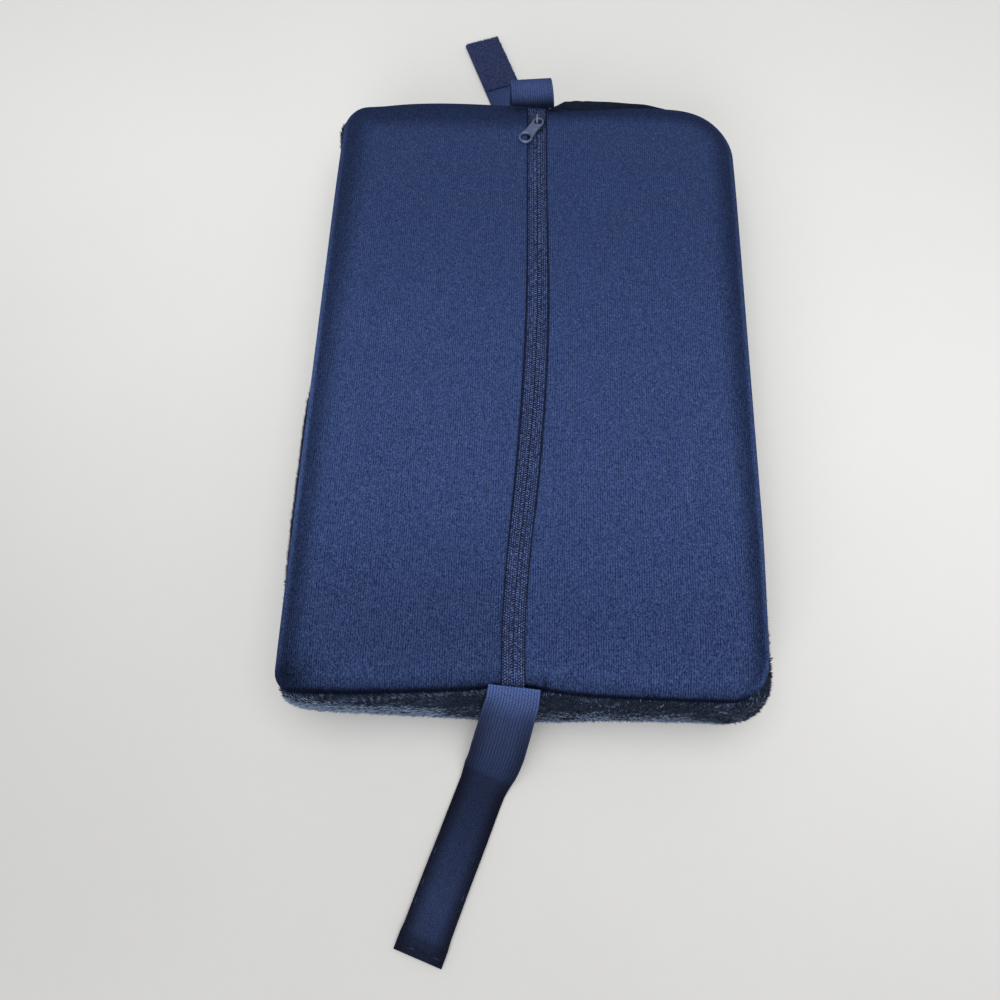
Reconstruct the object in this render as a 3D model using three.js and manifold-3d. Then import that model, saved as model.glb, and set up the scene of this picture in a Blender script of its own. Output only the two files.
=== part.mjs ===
// Lumbar pillow with a zipped back and two strap ends, lying on its plush front with the zip side up.
// Millimetres, +Z up, +Y from the near strap to the far one. The origin is the middle of the resting face.
import * as THREE from 'three';
import { mergeVertices } from 'three/addons/utils/BufferGeometryUtils.js';
import Module from 'manifold-3d';

const wasm = await Module();
wasm.setup();

const { degToRad, lerp, smoothstep } = THREE.MathUtils;

// Filled pad, measured along the seam between the back and the plush
const PAD_WIDTH = 230;
const PAD_LENGTH = 350;
const SEAM_HEIGHT = 58.5;
const HALF_WIDTH = PAD_WIDTH / 2;
const HALF_LENGTH = PAD_LENGTH / 2;

// The back rolls up from the seam, then crowns gently to the middle
const ROLL_WIDTH = 18;
const ROLL_RISE = 5;
const CROWN_RISE = 2;

// Corners in plan, anticlockwise from the near right, with how far each one sags below the seam height
const CORNERS = [
  { sideX: 1, sideY: -1, radius: 20, sag: 1 },
  { sideX: 1, sideY: 1, radius: 35, sag: 4 },
  { sideX: -1, sideY: 1, radius: 23, sag: 3 },
  { sideX: -1, sideY: -1, radius: 18.5, sag: 1 },
];
const SAG_SPREAD = 45;
const ARC_STEPS = 6;
const SIDE_STEPS = { long: 11, short: 9 };

// The seam is drawn in along the sides, and more where each strap is sewn in
const SIDE_DRAW = 1.5;
const STRAP_DRAWS = [
  { sideY: -1, x: -10, depth: 5.3, spread: 32 },
  { sideY: 1, x: -1, depth: 2, spread: 32 },
];
const DRAW_REACH = 65;
const DRAW_FROM_HEIGHT = 20;
const DRAW_FULL_HEIGHT = 50;

// Plush wall from the resting face up to the seam: inset from the seam line, and height
const WALL = [
  { inset: 17, height: 0 },
  { inset: 10.5, height: 1.6 },
  { inset: 5, height: 6 },
  { inset: 1, height: 13.5 },
  { inset: -1.8, height: 24 },
  { inset: -2.8, height: 35 },
  { inset: -2.4, height: 45 },
  { inset: -1.1, height: 52.5 },
];
const CAP_INSETS = [3, 7, 12, 16];
const CAP_SHRINKS = [0.76, 0.5, 0.25, 0.03];

// Cloth thicknesses, and the clearance between neighbouring pieces
const GAP = 0.3;
const PANEL = 2.5;
const PANEL_EDGE = { low: 0.8, high: 0 };

// Zip: its line over the back, and the widths of its parts
const ZIP_LINE = [
  { y: -176, x: -4.2 },
  { y: -145, x: -4.7 },
  { y: -116, x: -3.7 },
  { y: -70, x: -0.3 },
  { y: -20, x: 2.3 },
  { y: 25, x: 3.1 },
  { y: 73, x: 2.4 },
  { y: 114, x: 1.4 },
  { y: 158, x: 0.6 },
  { y: 176, x: 0.2 },
];
const ZIP_STEPS = 20;
const ZIP_BLOCK = { from: 30, high: 60 };
const SLIT_HALF = 5.4;
const TAPE = { thick: 1.2, reach: 13, end: 1.5 };
const COIL = { width: 4.4, high: 1.5, from: -168, to: 161, steps: 30 };

// Slider with its bail, and the stamped pull that hangs on it
const SLIDER = { y: 156.2, long: 11, wide: 8.6, nose: 6, shoulder: 2.2, bow: 1, plate: 1.4, flange: 1.1 };
const BAIL = { long: 7.2, inside: 2.9, bar: 1.1, thick: 1.4 };
const ARCH_HANDLE = 4 / 3; // a cubic arch peaks at three quarters of its handles' height
const PULL = {
  eye: { x: 1.3, y: 153.8, radius: 3.6, hole: 2.1 },
  ring: { x: -6.1, y: 141.1, radius: 4, hole: 2.8 },
  waist: 3,
  thick: 1.5,
  lift: 0.5,
};

// Straps: one elastic width, each laid along a table of its middle line
// x, y and z are the middle of the thickness, and turn is its bearing in plan, in degrees
const STRAP = { width: 25, thick: 1.6 };
const NEAR_STRAP = {
  sideY: -1,
  steps: 34,
  rows: [
    { x: -3.8, y: -171.2, z: 57.3, turn: 3.5 },
    { x: -4.1, y: -175.5, z: 56.9, turn: 5 },
    { x: -6, y: -180.5, z: 51.5, turn: 8 },
    { x: -9.6, y: -188.5, z: 36, turn: 10 },
    { x: -14, y: -198, z: 15.5, turn: 13 },
    { x: -16.9, y: -204.2, z: 5, turn: 15 },
    { x: -19.8, y: -211.5, z: 1.8, turn: 17 },
    { x: -28, y: -235, z: 2.9, turn: 19 },
    { x: -33.4, y: -250, z: 2.95, turn: 19.5 },
    { x: -44.9, y: -283.3, z: 2.95, turn: 20 },
  ],
};
const FAR_STRAP = {
  sideY: 1,
  steps: 40,
  rows: [
    { x: -1.8, y: 174.3, z: 57.6, turn: 0 },
    { x: -1.9, y: 176.7, z: 62.6, turn: 0 },
    { x: -2, y: 180.6, z: 66.2, turn: 1 },
    { x: -2.3, y: 185.4, z: 66, turn: 2 },
    { x: -2.9, y: 188.6, z: 61.4, turn: 4 },
    { x: -4.4, y: 189.8, z: 50, turn: 6 },
    { x: -7.8, y: 191.6, z: 28, turn: 9 },
    { x: -10.8, y: 196, z: 10, turn: 12 },
    { x: -13.4, y: 203.5, z: 3.4, turn: 14 },
    { x: -16.3, y: 213, z: 1.5, turn: 16 },
    { x: -20.4, y: 228, z: 0.95, turn: 16.5 },
    { x: -25, y: 245, z: 0.8, turn: 17 },
    { x: -37.5, y: 290, z: 0.8, turn: 17.5 },
  ],
};

// Grip patches at the strap ends: hooks under the near end, loops on top of the far end
const HOOK = { thick: 1.8, wide: 25, from: { x: -29.4, y: -238.4 }, to: { x: -45.3, y: -284.4 }, turn: 20 };
const LOOP = { thick: 2, wide: 24.4, from: { x: -23.8, y: 244 }, to: { x: -37.3, y: 289.4 }, turn: 17 };

// Colours
const NAVY_KNIT = { color: 0x2b3d6c, roughness: 0.9, metalness: 0 };
const NAVY_PLUSH = { color: 0x232f48, roughness: 1, metalness: 0 };
const NAVY_TAPE = { color: 0x252d49, roughness: 0.85, metalness: 0 };
const NAVY_COIL = { color: 0x2f3858, roughness: 0.5, metalness: 0 };
const NAVY_ENAMEL = { color: 0x3c4560, roughness: 0.4, metalness: 0.6 };
const NAVY_ELASTIC = { color: 0x33426c, roughness: 0.8, metalness: 0 };
const HOOK_TAPE = { color: 0x1d2640, roughness: 0.7, metalness: 0 };
const LOOP_TAPE = { color: 0x272f4c, roughness: 1, metalness: 0 };

// Seam outline in plan, anticlockwise from the near right corner, with its outward direction at each point
function seamOutline() {
  const points = [];
  CORNERS.forEach((corner, index) => {
    const next = CORNERS[(index + 1) % CORNERS.length];
    const startAngle = index * 90 - 90;
    const centreX = corner.sideX * (HALF_WIDTH - corner.radius);
    const centreY = corner.sideY * (HALF_LENGTH - corner.radius);
    for (let step = 0; step <= ARC_STEPS; step++) {
      const angle = degToRad(startAngle + (90 * step) / ARC_STEPS);
      const outX = Math.cos(angle);
      const outY = Math.sin(angle);
      points.push({ x: centreX + corner.radius * outX, y: centreY + corner.radius * outY, outX, outY });
    }
    const sideEnd = points[points.length - 1];
    const outX = Math.round(sideEnd.outX);
    const outY = Math.round(sideEnd.outY);
    const nextX = outX === 0 ? next.sideX * (HALF_WIDTH - next.radius) : sideEnd.x;
    const nextY = outY === 0 ? next.sideY * (HALF_LENGTH - next.radius) : sideEnd.y;
    const sideSteps = outX === 0 ? SIDE_STEPS.short : SIDE_STEPS.long;
    for (let step = 1; step < sideSteps; step++) {
      const share = step / sideSteps;
      points.push({ x: lerp(sideEnd.x, nextX, share), y: lerp(sideEnd.y, nextY, share), outX, outY });
    }
  });
  return points;
}

// How far a point lies in from the seam, in plan
function seamDepth(x, y) {
  const { radius } = CORNERS.find(({ sideX, sideY }) => sideX * x >= 0 && sideY * y >= 0);
  const pastX = Math.abs(x) - (HALF_WIDTH - radius);
  const pastY = Math.abs(y) - (HALF_LENGTH - radius);
  return radius - (pastX > 0 && pastY > 0 ? Math.hypot(pastX, pastY) : Math.max(pastX, pastY));
}

function cornerSag(x, y) {
  let sag = 0;
  for (const corner of CORNERS) {
    const away = Math.hypot(x - corner.sideX * HALF_WIDTH, y - corner.sideY * HALF_LENGTH);
    sag += corner.sag * Math.exp(-((away / SAG_SPREAD) ** 2));
  }
  return sag;
}

// Height of the back's outer face
function backHeight(x, y) {
  const climb = 1 - Math.min(seamDepth(x, y) / ROLL_WIDTH, 1);
  const roll = ROLL_RISE * (1 - climb ** 2);
  const crown = CROWN_RISE * (1 - (x / HALF_WIDTH) ** 2) * (1 - (y / HALF_LENGTH) ** 2);
  return SEAM_HEIGHT + roll + crown - cornerSag(x, y);
}

// Moves a point of the flat pattern to where the sewing draws it in
function sewn(x, y, z) {
  const pull = smoothstep(z, DRAW_FROM_HEIGHT, DRAW_FULL_HEIGHT);
  const sideDraw = (SIDE_DRAW * x * (1 - (y / HALF_LENGTH) ** 2)) / HALF_WIDTH;
  let endDraw = 0;
  for (const draw of STRAP_DRAWS) {
    const nearEnd = smoothstep(draw.sideY * y, HALF_LENGTH - DRAW_REACH, HALF_LENGTH);
    endDraw -= draw.sideY * draw.depth * nearEnd * Math.exp(-(((x - draw.x) / draw.spread) ** 2));
  }
  return new THREE.Vector3(x - pull * sideDraw, y + pull * endDraw, z);
}

const OUTLINE = seamOutline();

// One ring of the pad: the seam outline set in, shrunk towards the middle and raised
function padRing(inset, shrink, heightAt) {
  return OUTLINE.map(({ x, y, outX, outY }) => {
    const ringX = (x - outX * inset) * shrink;
    const ringY = (y - outY * inset) * shrink;
    return sewn(ringX, ringY, heightAt(ringX, ringY));
  });
}

// Rings that follow the back at a set distance below its outer face, from the edge to the middle
function backRings(edge, below) {
  const heightAt = (x, y) => backHeight(x, y) - below;
  const deepest = CAP_INSETS[CAP_INSETS.length - 1];
  const rolled = [edge, ...CAP_INSETS].map((inset) => padRing(inset, 1, heightAt));
  const crowned = CAP_SHRINKS.map((shrink) => padRing(deepest, shrink, heightAt));
  return [...rolled, ...crowned];
}

// Closed surface through a stack of equal rings, each anticlockwise as seen from the last one
function loft(rings) {
  const count = rings[0].length;
  const points = rings.flat();
  const faces = [];
  for (let level = 0; level < rings.length - 1; level++) {
    for (let j = 0; j < count; j++) {
      const here = level * count + j;
      const beside = level * count + ((j + 1) % count);
      const falling = points[here].distanceTo(points[beside + count]);
      const rising = points[beside].distanceTo(points[here + count]);
      if (falling <= rising) faces.push(here, beside, beside + count, here, beside + count, here + count);
      else faces.push(here, beside, here + count, beside, beside + count, here + count);
    }
  }
  const lastStart = points.length - count;
  const first = points.length;
  for (const ring of [rings[0], rings[rings.length - 1]]) {
    const middle = new THREE.Vector3();
    ring.forEach((point) => middle.addScaledVector(point, 1 / count));
    points.push(middle);
  }
  for (let j = 0; j < count; j++) {
    const beside = (j + 1) % count;
    faces.push(first, beside, j);
    faces.push(first + 1, lastStart + j, lastStart + beside);
  }
  const geometry = new THREE.BufferGeometry().setFromPoints(points);
  geometry.setIndex(faces);
  return geometry;
}

// Solids for joining and cutting
function toSolid(geometry) {
  const bare = geometry.clone();
  bare.deleteAttribute('normal');
  bare.deleteAttribute('uv');
  const merged = mergeVertices(bare);
  const vertProperties = new Float32Array(merged.attributes.position.array);
  const triVerts = new Uint32Array(merged.index.array);
  return new wasm.Manifold(new wasm.Mesh({ numProp: 3, vertProperties, triVerts }));
}

function toGeometry(solid) {
  const { numProp, vertProperties, triVerts } = solid.getMesh();
  const geometry = new THREE.BufferGeometry();
  geometry.setAttribute('position', new THREE.BufferAttribute(vertProperties, numProp));
  geometry.setIndex(new THREE.BufferAttribute(triVerts, 1));
  return geometry;
}

// Solid between two faces that follow the back
function backShell(low, high) {
  const underside = backRings(low.edge, low.below).reverse();
  return toSolid(loft([...underside, ...backRings(high.edge, high.below)]));
}

// Zip line over the back
const zipCurve = new THREE.CubicInterpolant(
  ZIP_LINE.map((row) => row.y),
  ZIP_LINE.map((row) => row.x),
  1,
);
const zipX = (y) => zipCurve.evaluate(y)[0];

// Upright block over the back that fills the band between two offsets from the zip line
function zipBand(left, right) {
  const from = -HALF_LENGTH - TAPE.reach;
  const to = HALF_LENGTH + TAPE.reach;
  const edge = (offset) =>
    Array.from({ length: ZIP_STEPS + 1 }, (_, step) => {
      const y = lerp(from, to, step / ZIP_STEPS);
      return new THREE.Vector2(zipX(y) + offset, y);
    });
  const shape = new THREE.Shape([...edge(right), ...edge(left).reverse()]);
  const block = new THREE.ExtrudeGeometry(shape, { depth: ZIP_BLOCK.high, bevelEnabled: false });
  block.translate(0, 0, ZIP_BLOCK.from);
  return toSolid(block);
}

// Plush body: one filled form from the resting face to the shoulder under the back, with a bed for the zip
function plushBody() {
  const shoulder = PANEL + GAP;
  const bed = shoulder + TAPE.thick + GAP;
  const wall = WALL.map(({ inset, height }) => {
    const lift = smoothstep(height, DRAW_FROM_HEIGHT, SEAM_HEIGHT);
    return padRing(inset, 1, (x, y) => height - lift * cornerSag(x, y));
  });
  const base = CAP_SHRINKS.map((shrink) => padRing(WALL[0].inset, shrink, () => 0)).reverse();
  const body = toSolid(loft([...base, ...wall, ...backRings(PANEL_EDGE.low, shoulder)]));
  const edge = -TAPE.reach;
  const bedShell = backShell({ edge, below: bed }, { edge, below: -TAPE.reach });
  const reach = TAPE.reach + GAP;
  return toGeometry(body.subtract(bedShell.intersect(zipBand(-reach, reach))));
}

// Back panel on one side of the zip
function backPanel(side) {
  const shell = backShell({ edge: PANEL_EDGE.low, below: PANEL }, { edge: PANEL_EDGE.high, below: 0 });
  const inner = side * SLIT_HALF;
  const outer = -side * PAD_WIDTH;
  return toGeometry(shell.subtract(zipBand(Math.min(inner, outer), Math.max(inner, outer))));
}

// Zip tape on one side, its outer strip lying under the back panel
function zipTape(side) {
  const top = PANEL + GAP;
  const shell = backShell({ edge: TAPE.end, below: top + TAPE.thick }, { edge: TAPE.end, below: top });
  const inner = (side * GAP) / 2;
  const outer = side * TAPE.reach;
  return toGeometry(shell.intersect(zipBand(Math.min(inner, outer), Math.max(inner, outer))));
}

// Ring of a swept section: its points lie across and above the middle line
function sectionRing(section, centre, along, acrossHint) {
  const across = acrossHint.clone().addScaledVector(along, -acrossHint.dot(along)).normalize();
  const above = new THREE.Vector3().crossVectors(along, across);
  return section.map(({ x, y }) => centre.clone().addScaledVector(across, x).addScaledVector(above, y));
}

// Closed coil of the zip, a low round ridge on the two tapes
const coilFoot = (x, y) => backHeight(x, y) - PANEL + GAP / 2;

function zipCoil() {
  const half = COIL.width / 2;
  const section = [-90, -50, 0, 50, 90].map((degrees) => {
    const angle = degToRad(degrees);
    return new THREE.Vector2(half * Math.sin(angle), COIL.high * Math.cos(angle));
  });
  const acrossHint = new THREE.Vector3(1, 0, 0);
  const middle = Array.from({ length: COIL.steps + 1 }, (_, step) => {
    const y = lerp(COIL.to, COIL.from, (1 - Math.cos((Math.PI * step) / COIL.steps)) / 2);
    return sewn(zipX(y), y, coilFoot(zipX(y), y));
  });
  const line = new THREE.CatmullRomCurve3(middle);
  return loft(
    middle.map((centre, step) =>
      sectionRing(section.toReversed(), centre, line.getTangent(step / COIL.steps), acrossHint),
    ),
  );
}

// Slider: a plate over the coil with a flange down each side, and the bail arched along it
function zipSlider() {
  const halfLong = SLIDER.long / 2;
  const halfWide = SLIDER.wide / 2;
  const halfNose = SLIDER.nose / 2;
  const plateShape = new THREE.Shape();
  plateShape.moveTo(-halfNose, -halfLong);
  plateShape.quadraticCurveTo(0, -halfLong - SLIDER.bow, halfNose, -halfLong);
  plateShape.lineTo(halfWide, SLIDER.shoulder);
  plateShape.quadraticCurveTo(halfWide, halfLong, halfNose, halfLong);
  plateShape.lineTo(-halfNose, halfLong);
  plateShape.quadraticCurveTo(-halfWide, halfLong, -halfWide, SLIDER.shoulder);
  plateShape.closePath();
  const plateSettings = { depth: SLIDER.plate, bevelEnabled: false, curveSegments: 6 };
  let slider = toSolid(new THREE.ExtrudeGeometry(plateShape, plateSettings));

  const flangeDrop = COIL.high;
  const flangeX = COIL.width / 2 + GAP + SLIDER.flange / 2;
  for (const side of [-1, 1]) {
    const flange = new THREE.BoxGeometry(SLIDER.flange, halfLong, flangeDrop + SLIDER.plate);
    flange.translate(side * flangeX, 0, (SLIDER.plate - flangeDrop) / 2);
    slider = slider.add(toSolid(flange));
  }

  const outerHalf = BAIL.long / 2;
  const innerHalf = outerHalf - BAIL.bar;
  const outerHandle = (BAIL.inside + BAIL.bar) * ARCH_HANDLE;
  const innerHandle = BAIL.inside * ARCH_HANDLE;
  const bailShape = new THREE.Shape();
  bailShape.moveTo(-outerHalf, 0);
  bailShape.bezierCurveTo(-outerHalf, outerHandle, outerHalf, outerHandle, outerHalf, 0);
  bailShape.lineTo(innerHalf, 0);
  bailShape.bezierCurveTo(innerHalf, innerHandle, -innerHalf, innerHandle, -innerHalf, 0);
  bailShape.closePath();
  const bailSettings = { depth: BAIL.thick, bevelEnabled: false, curveSegments: 10 };
  const bail = new THREE.ExtrudeGeometry(bailShape, bailSettings);
  const alongZip = new THREE.Vector3(0, 1, 0);
  const upward = new THREE.Vector3(0, 0, 1);
  const sideways = new THREE.Vector3(1, 0, 0);
  bail.applyMatrix4(new THREE.Matrix4().makeBasis(alongZip, upward, sideways));
  bail.translate(-BAIL.thick / 2, 0, SLIDER.plate - GAP / 2);
  return toGeometry(slider.add(toSolid(bail)));
}

// Pull: a flat tab with a small eye at the bail and a larger round hole at its free end
function zipPull(span) {
  const { eye, ring, waist, thick } = PULL;
  const shape = new THREE.Shape();
  shape.absarc(0, 0, eye.radius, 0, Math.PI);
  shape.quadraticCurveTo(-waist, -span / 2, -ring.radius, -span);
  shape.absarc(0, -span, ring.radius, Math.PI, 2 * Math.PI);
  shape.quadraticCurveTo(waist, -span / 2, eye.radius, 0);
  shape.holes.push(new THREE.Path().absarc(0, 0, eye.hole, 0, 2 * Math.PI, true));
  shape.holes.push(new THREE.Path().absarc(0, -span, ring.hole, 0, 2 * Math.PI, true));
  return new THREE.ExtrudeGeometry(shape, { depth: thick, bevelEnabled: false, curveSegments: 9 });
}

// Flat band of elastic or tape, anticlockwise from its lower left edge
function bandSection(width, thick) {
  const x = width / 2;
  const y = thick / 2;
  const corners = [[-x, -y], [x, -y], [x, y], [-x, y]];
  return corners.map((corner) => new THREE.Vector2(...corner));
}

const acrossBand = (sideY, turn) => new THREE.Vector3(Math.cos(turn), sideY * Math.sin(turn), 0);

function strap({ sideY, steps, rows }) {
  const line = new THREE.CatmullRomCurve3(rows.map(({ x, y, z }) => new THREE.Vector3(x, y, z)));
  const section = bandSection(STRAP.width, STRAP.thick);
  const rings = [];
  for (let step = 0; step <= steps; step++) {
    const place = (step / steps) * (rows.length - 1);
    const row = Math.min(Math.floor(place), rows.length - 2);
    const turn = degToRad(lerp(rows[row].turn, rows[row + 1].turn, place - row));
    const share = step / steps;
    rings.push(sectionRing(section, line.getPoint(share), line.getTangent(share), acrossBand(sideY, turn)));
  }
  return loft(rings);
}

function gripPatch({ thick, wide, from, to, turn }, sideY, height) {
  const start = new THREE.Vector3(from.x, from.y, height);
  const end = new THREE.Vector3(to.x, to.y, height);
  const along = end.clone().sub(start).normalize();
  const across = acrossBand(sideY, degToRad(turn));
  return loft([start, end].map((centre) => sectionRing(bandSection(wide, thick), centre, along, across)));
}

const pillow = new THREE.Group();
pillow.name = 'lumbar_pillow';

function addPiece(name, geometry, finish, parent = pillow) {
  const piece = new THREE.Mesh(geometry, new THREE.MeshStandardMaterial(finish));
  geometry.computeVertexNormals();
  piece.name = name;
  parent.add(piece);
  return piece;
}

addPiece('plush_body', plushBody(), NAVY_PLUSH);
addPiece('back_panel_left', backPanel(-1), NAVY_KNIT);
addPiece('back_panel_right', backPanel(1), NAVY_KNIT);
addPiece('zip_tape_left', zipTape(-1), NAVY_TAPE);
addPiece('zip_tape_right', zipTape(1), NAVY_TAPE);
addPiece('zip_coil', zipCoil(), NAVY_COIL);

const slider = addPiece('zip_slider', zipSlider(), NAVY_ENAMEL);
const sliderNear = SLIDER.y - SLIDER.long / 2;
const sliderFoot = coilFoot(zipX(sliderNear), sliderNear) + COIL.high + GAP;
slider.position.set(zipX(SLIDER.y), SLIDER.y, sliderFoot);

const pullSpan = Math.hypot(PULL.eye.x - PULL.ring.x, PULL.eye.y - PULL.ring.y);
const eyeFoot = sliderFoot + SLIDER.plate + PULL.lift;
const ringFoot = backHeight(PULL.ring.x, PULL.ring.y) + PULL.lift;
const pull = addPiece('zip_pull', zipPull(pullSpan), NAVY_ENAMEL);
pull.position.set(PULL.eye.x, PULL.eye.y, eyeFoot);
pull.rotation.order = 'ZXY';
pull.rotation.z = Math.atan2(PULL.ring.x - PULL.eye.x, PULL.eye.y - PULL.ring.y);
pull.rotation.x = Math.atan2(eyeFoot - ringFoot, pullSpan);

addPiece('near_strap', strap(NEAR_STRAP), NAVY_ELASTIC);
addPiece('far_strap', strap(FAR_STRAP), NAVY_ELASTIC);
addPiece('hook_patch', gripPatch(HOOK, NEAR_STRAP.sideY, HOOK.thick / 2), HOOK_TAPE);
addPiece('loop_patch', gripPatch(LOOP, FAR_STRAP.sideY, STRAP.thick + GAP + LOOP.thick / 2), LOOP_TAPE);

export default pillow;
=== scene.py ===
import math

import bmesh
import bpy
import numpy as np
from mathutils import Matrix, Vector


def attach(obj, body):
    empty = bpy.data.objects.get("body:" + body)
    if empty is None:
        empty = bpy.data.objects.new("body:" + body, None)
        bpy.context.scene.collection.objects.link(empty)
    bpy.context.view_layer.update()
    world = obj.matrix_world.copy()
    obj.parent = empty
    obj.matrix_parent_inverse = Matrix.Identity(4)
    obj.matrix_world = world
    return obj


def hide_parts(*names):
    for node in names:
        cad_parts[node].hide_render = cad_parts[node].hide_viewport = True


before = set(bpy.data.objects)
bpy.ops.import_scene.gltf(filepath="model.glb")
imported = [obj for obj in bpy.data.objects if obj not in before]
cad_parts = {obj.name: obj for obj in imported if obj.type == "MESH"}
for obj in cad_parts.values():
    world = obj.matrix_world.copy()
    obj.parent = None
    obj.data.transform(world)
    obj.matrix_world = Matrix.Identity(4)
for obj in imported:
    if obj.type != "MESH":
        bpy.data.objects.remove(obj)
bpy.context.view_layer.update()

mm = 0.001  # shapes are worked out in millimetres and stored in metres
print("frame loaded,", len(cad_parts), "nodes")


# Small tools for shapes
waves = {"count": 7, "turn": 6.28, "stretch": (0.7, 1.5), "scale": 4}  # the scale brings the sum near 1


def smoothStep(value, low, high):
    share = np.clip((value - low) / (high - low), 0, 1)
    return share * share * (3 - 2 * share)


def softWaves(x, y, size, seed):  # a smooth random swell between about -1 and 1
    draw = np.random.default_rng(seed)
    turn = waves["turn"]
    total = 0
    for _ in range(waves["count"]):
        angle, phase, stretch = draw.uniform(0, turn), draw.uniform(0, turn), draw.uniform(*waves["stretch"])
        total = total + np.sin((x * math.cos(angle) + y * math.sin(angle)) * turn / (size * stretch) + phase)
    return total / waves["scale"]


def eased(t, start, end, startSlope, endSlope):  # smooth curve from one value to the next
    return ((2 * t ** 3 - 3 * t ** 2 + 1) * start + (t ** 3 - 2 * t ** 2 + t) * startSlope
            + (3 * t ** 2 - 2 * t ** 3) * end + (t ** 3 - t ** 2) * endSlope)


def through(rows, at):  # smooth curve through rows of place and value
    places, values = np.array(rows, float).T
    slopes = np.gradient(values, places)
    row = np.clip(np.searchsorted(places, at) - 1, 0, len(places) - 2)
    gap = places[row + 1] - places[row]
    t = np.clip((at - places[row]) / gap, -0.2, 1.2)
    return eased(t, values[row], values[row + 1], gap * slopes[row], gap * slopes[row + 1])


def straight(rows, at):  # straight lines between rows of place and value
    return np.interp(at, *np.array(rows, float).T)


def hump(x, y, centreX, centreY, spreadX, spreadY):  # 1 at a place, falling away smoothly all round it
    return np.exp(-((x - centreX) / spreadX) ** 2 - ((y - centreY) / spreadY) ** 2)


def unit(vectors):
    return vectors / np.maximum(np.linalg.norm(vectors, axis=-1, keepdims=True), 1e-9)


def stacked(x, y, z):
    return np.stack(np.broadcast_arrays(x, y, z), axis=-1).astype(float)


def newObject(name, points, faces):
    mesh = bpy.data.meshes.new(name)
    mesh.from_pydata((np.asarray(points, float) * mm).tolist(), [], faces)
    mesh.update()
    obj = bpy.data.objects.new(name, mesh)
    bpy.context.scene.collection.objects.link(obj)
    return obj


def dress(obj, material, slot, *nodes):  # finish and body of a piece
    obj.data.materials.clear()
    obj.data.materials.append(material)
    obj.data.shade_smooth()
    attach(obj, "root")
    if nodes:
        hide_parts(*nodes)
    return obj


def settleModifiers(obj):  # keep the mesh as the modifiers leave it
    graph = bpy.context.evaluated_depsgraph_get()
    made = bpy.data.meshes.new_from_object(obj.evaluated_get(graph))
    obj.modifiers.clear()
    old, obj.data = obj.data, made
    bpy.data.meshes.remove(old)
    made.name = obj.name


def pointsOf(mesh):  # in metres
    return np.array([vertex.co for vertex in mesh.vertices])


def movePoints(mesh, points):
    mesh.vertices.foreach_set("co", points.astype(np.float32).ravel())
    mesh.update()


def storeValue(obj, name, values):  # a number at each point for the material to read
    obj.data.attributes.new(name, "FLOAT", "POINT").data.foreach_set("value", np.asarray(values, np.float32))


def ringFaces(rows, count, closed=True):  # quads between rows of equal rings
    row = np.arange(rows - 1)[:, None] * count
    here = np.arange(count if closed else count - 1)[None, :]
    beside = (here + 1) % count
    quads = np.stack([row + here, row + beside, row + count + beside, row + count + here], axis=-1)
    return quads.reshape(-1, 4).tolist()


def sweptRings(rings):  # closed solid through rings of points, with flat ends
    rows, count = rings.shape[:2]
    faces = ringFaces(rows, count)
    faces.append(list(range(count))[::-1])
    faces.append([(rows - 1) * count + step for step in range(count)])
    return rings.reshape(-1, 3), faces


def copiesOf(shape, origins, right, along, up):  # many copies of one small shape, each on its own axes
    points, faces = shape
    placed = (origins[:, None, :] + points[None, :, 0:1] * right[:, None, :]
              + points[None, :, 1:2] * along[:, None, :] + points[None, :, 2:3] * up[:, None, :])
    starts = (np.arange(len(origins)) * len(points))[:, None, None]
    return placed.reshape(-1, 3), (faces[None] + starts).reshape(-1, 3).tolist()


def joined(*shapes):
    points, faces = [], []
    for shapePoints, shapeFaces in shapes:
        start = sum(len(block) for block in points)
        points.append(shapePoints)
        faces += [[index + start for index in face] for face in shapeFaces]
    return np.concatenate(points), faces


def bothFaces(rows, columns):  # quads of a grid and of a second grid under it
    under = rows * columns
    faces = []
    for a, b, c, d in ringFaces(rows, columns, closed=False):
        faces += [[a, b, c, d], [under + d, under + c, under + b, under + a]]
    return faces


def circled(across, above, sides):  # directions all round each point of a path
    turn = (np.arange(sides) * 2 * math.pi / sides)[None, :, None]
    return np.cos(turn) * across[:, None, :] + np.sin(turn) * above[:, None, :]


def tubeShape(path, radii, sides):  # triangles of a round tube along a path
    path = np.asarray(path, float)
    along = unit(np.gradient(path, axis=0))
    hint = np.array([0, 1, 0]) if abs(along[:, 1]).max() < 0.9 else np.array([1, 0, 0])
    across = unit(np.cross(along, hint))
    ring = circled(across, np.cross(along, across), sides)
    points = path[:, None, :] + ring * np.asarray(radii, float)[:, None, None]
    faces = []
    for a, b, c, d in ringFaces(len(path), sides):
        faces += [[a, b, c], [a, c, d]]
    last = (len(path) - 1) * sides
    for step in range(1, sides - 1):
        faces += [[0, step + 1, step], [last, last + step, last + step + 1]]
    return points.reshape(-1, 3), np.array(faces)


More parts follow.
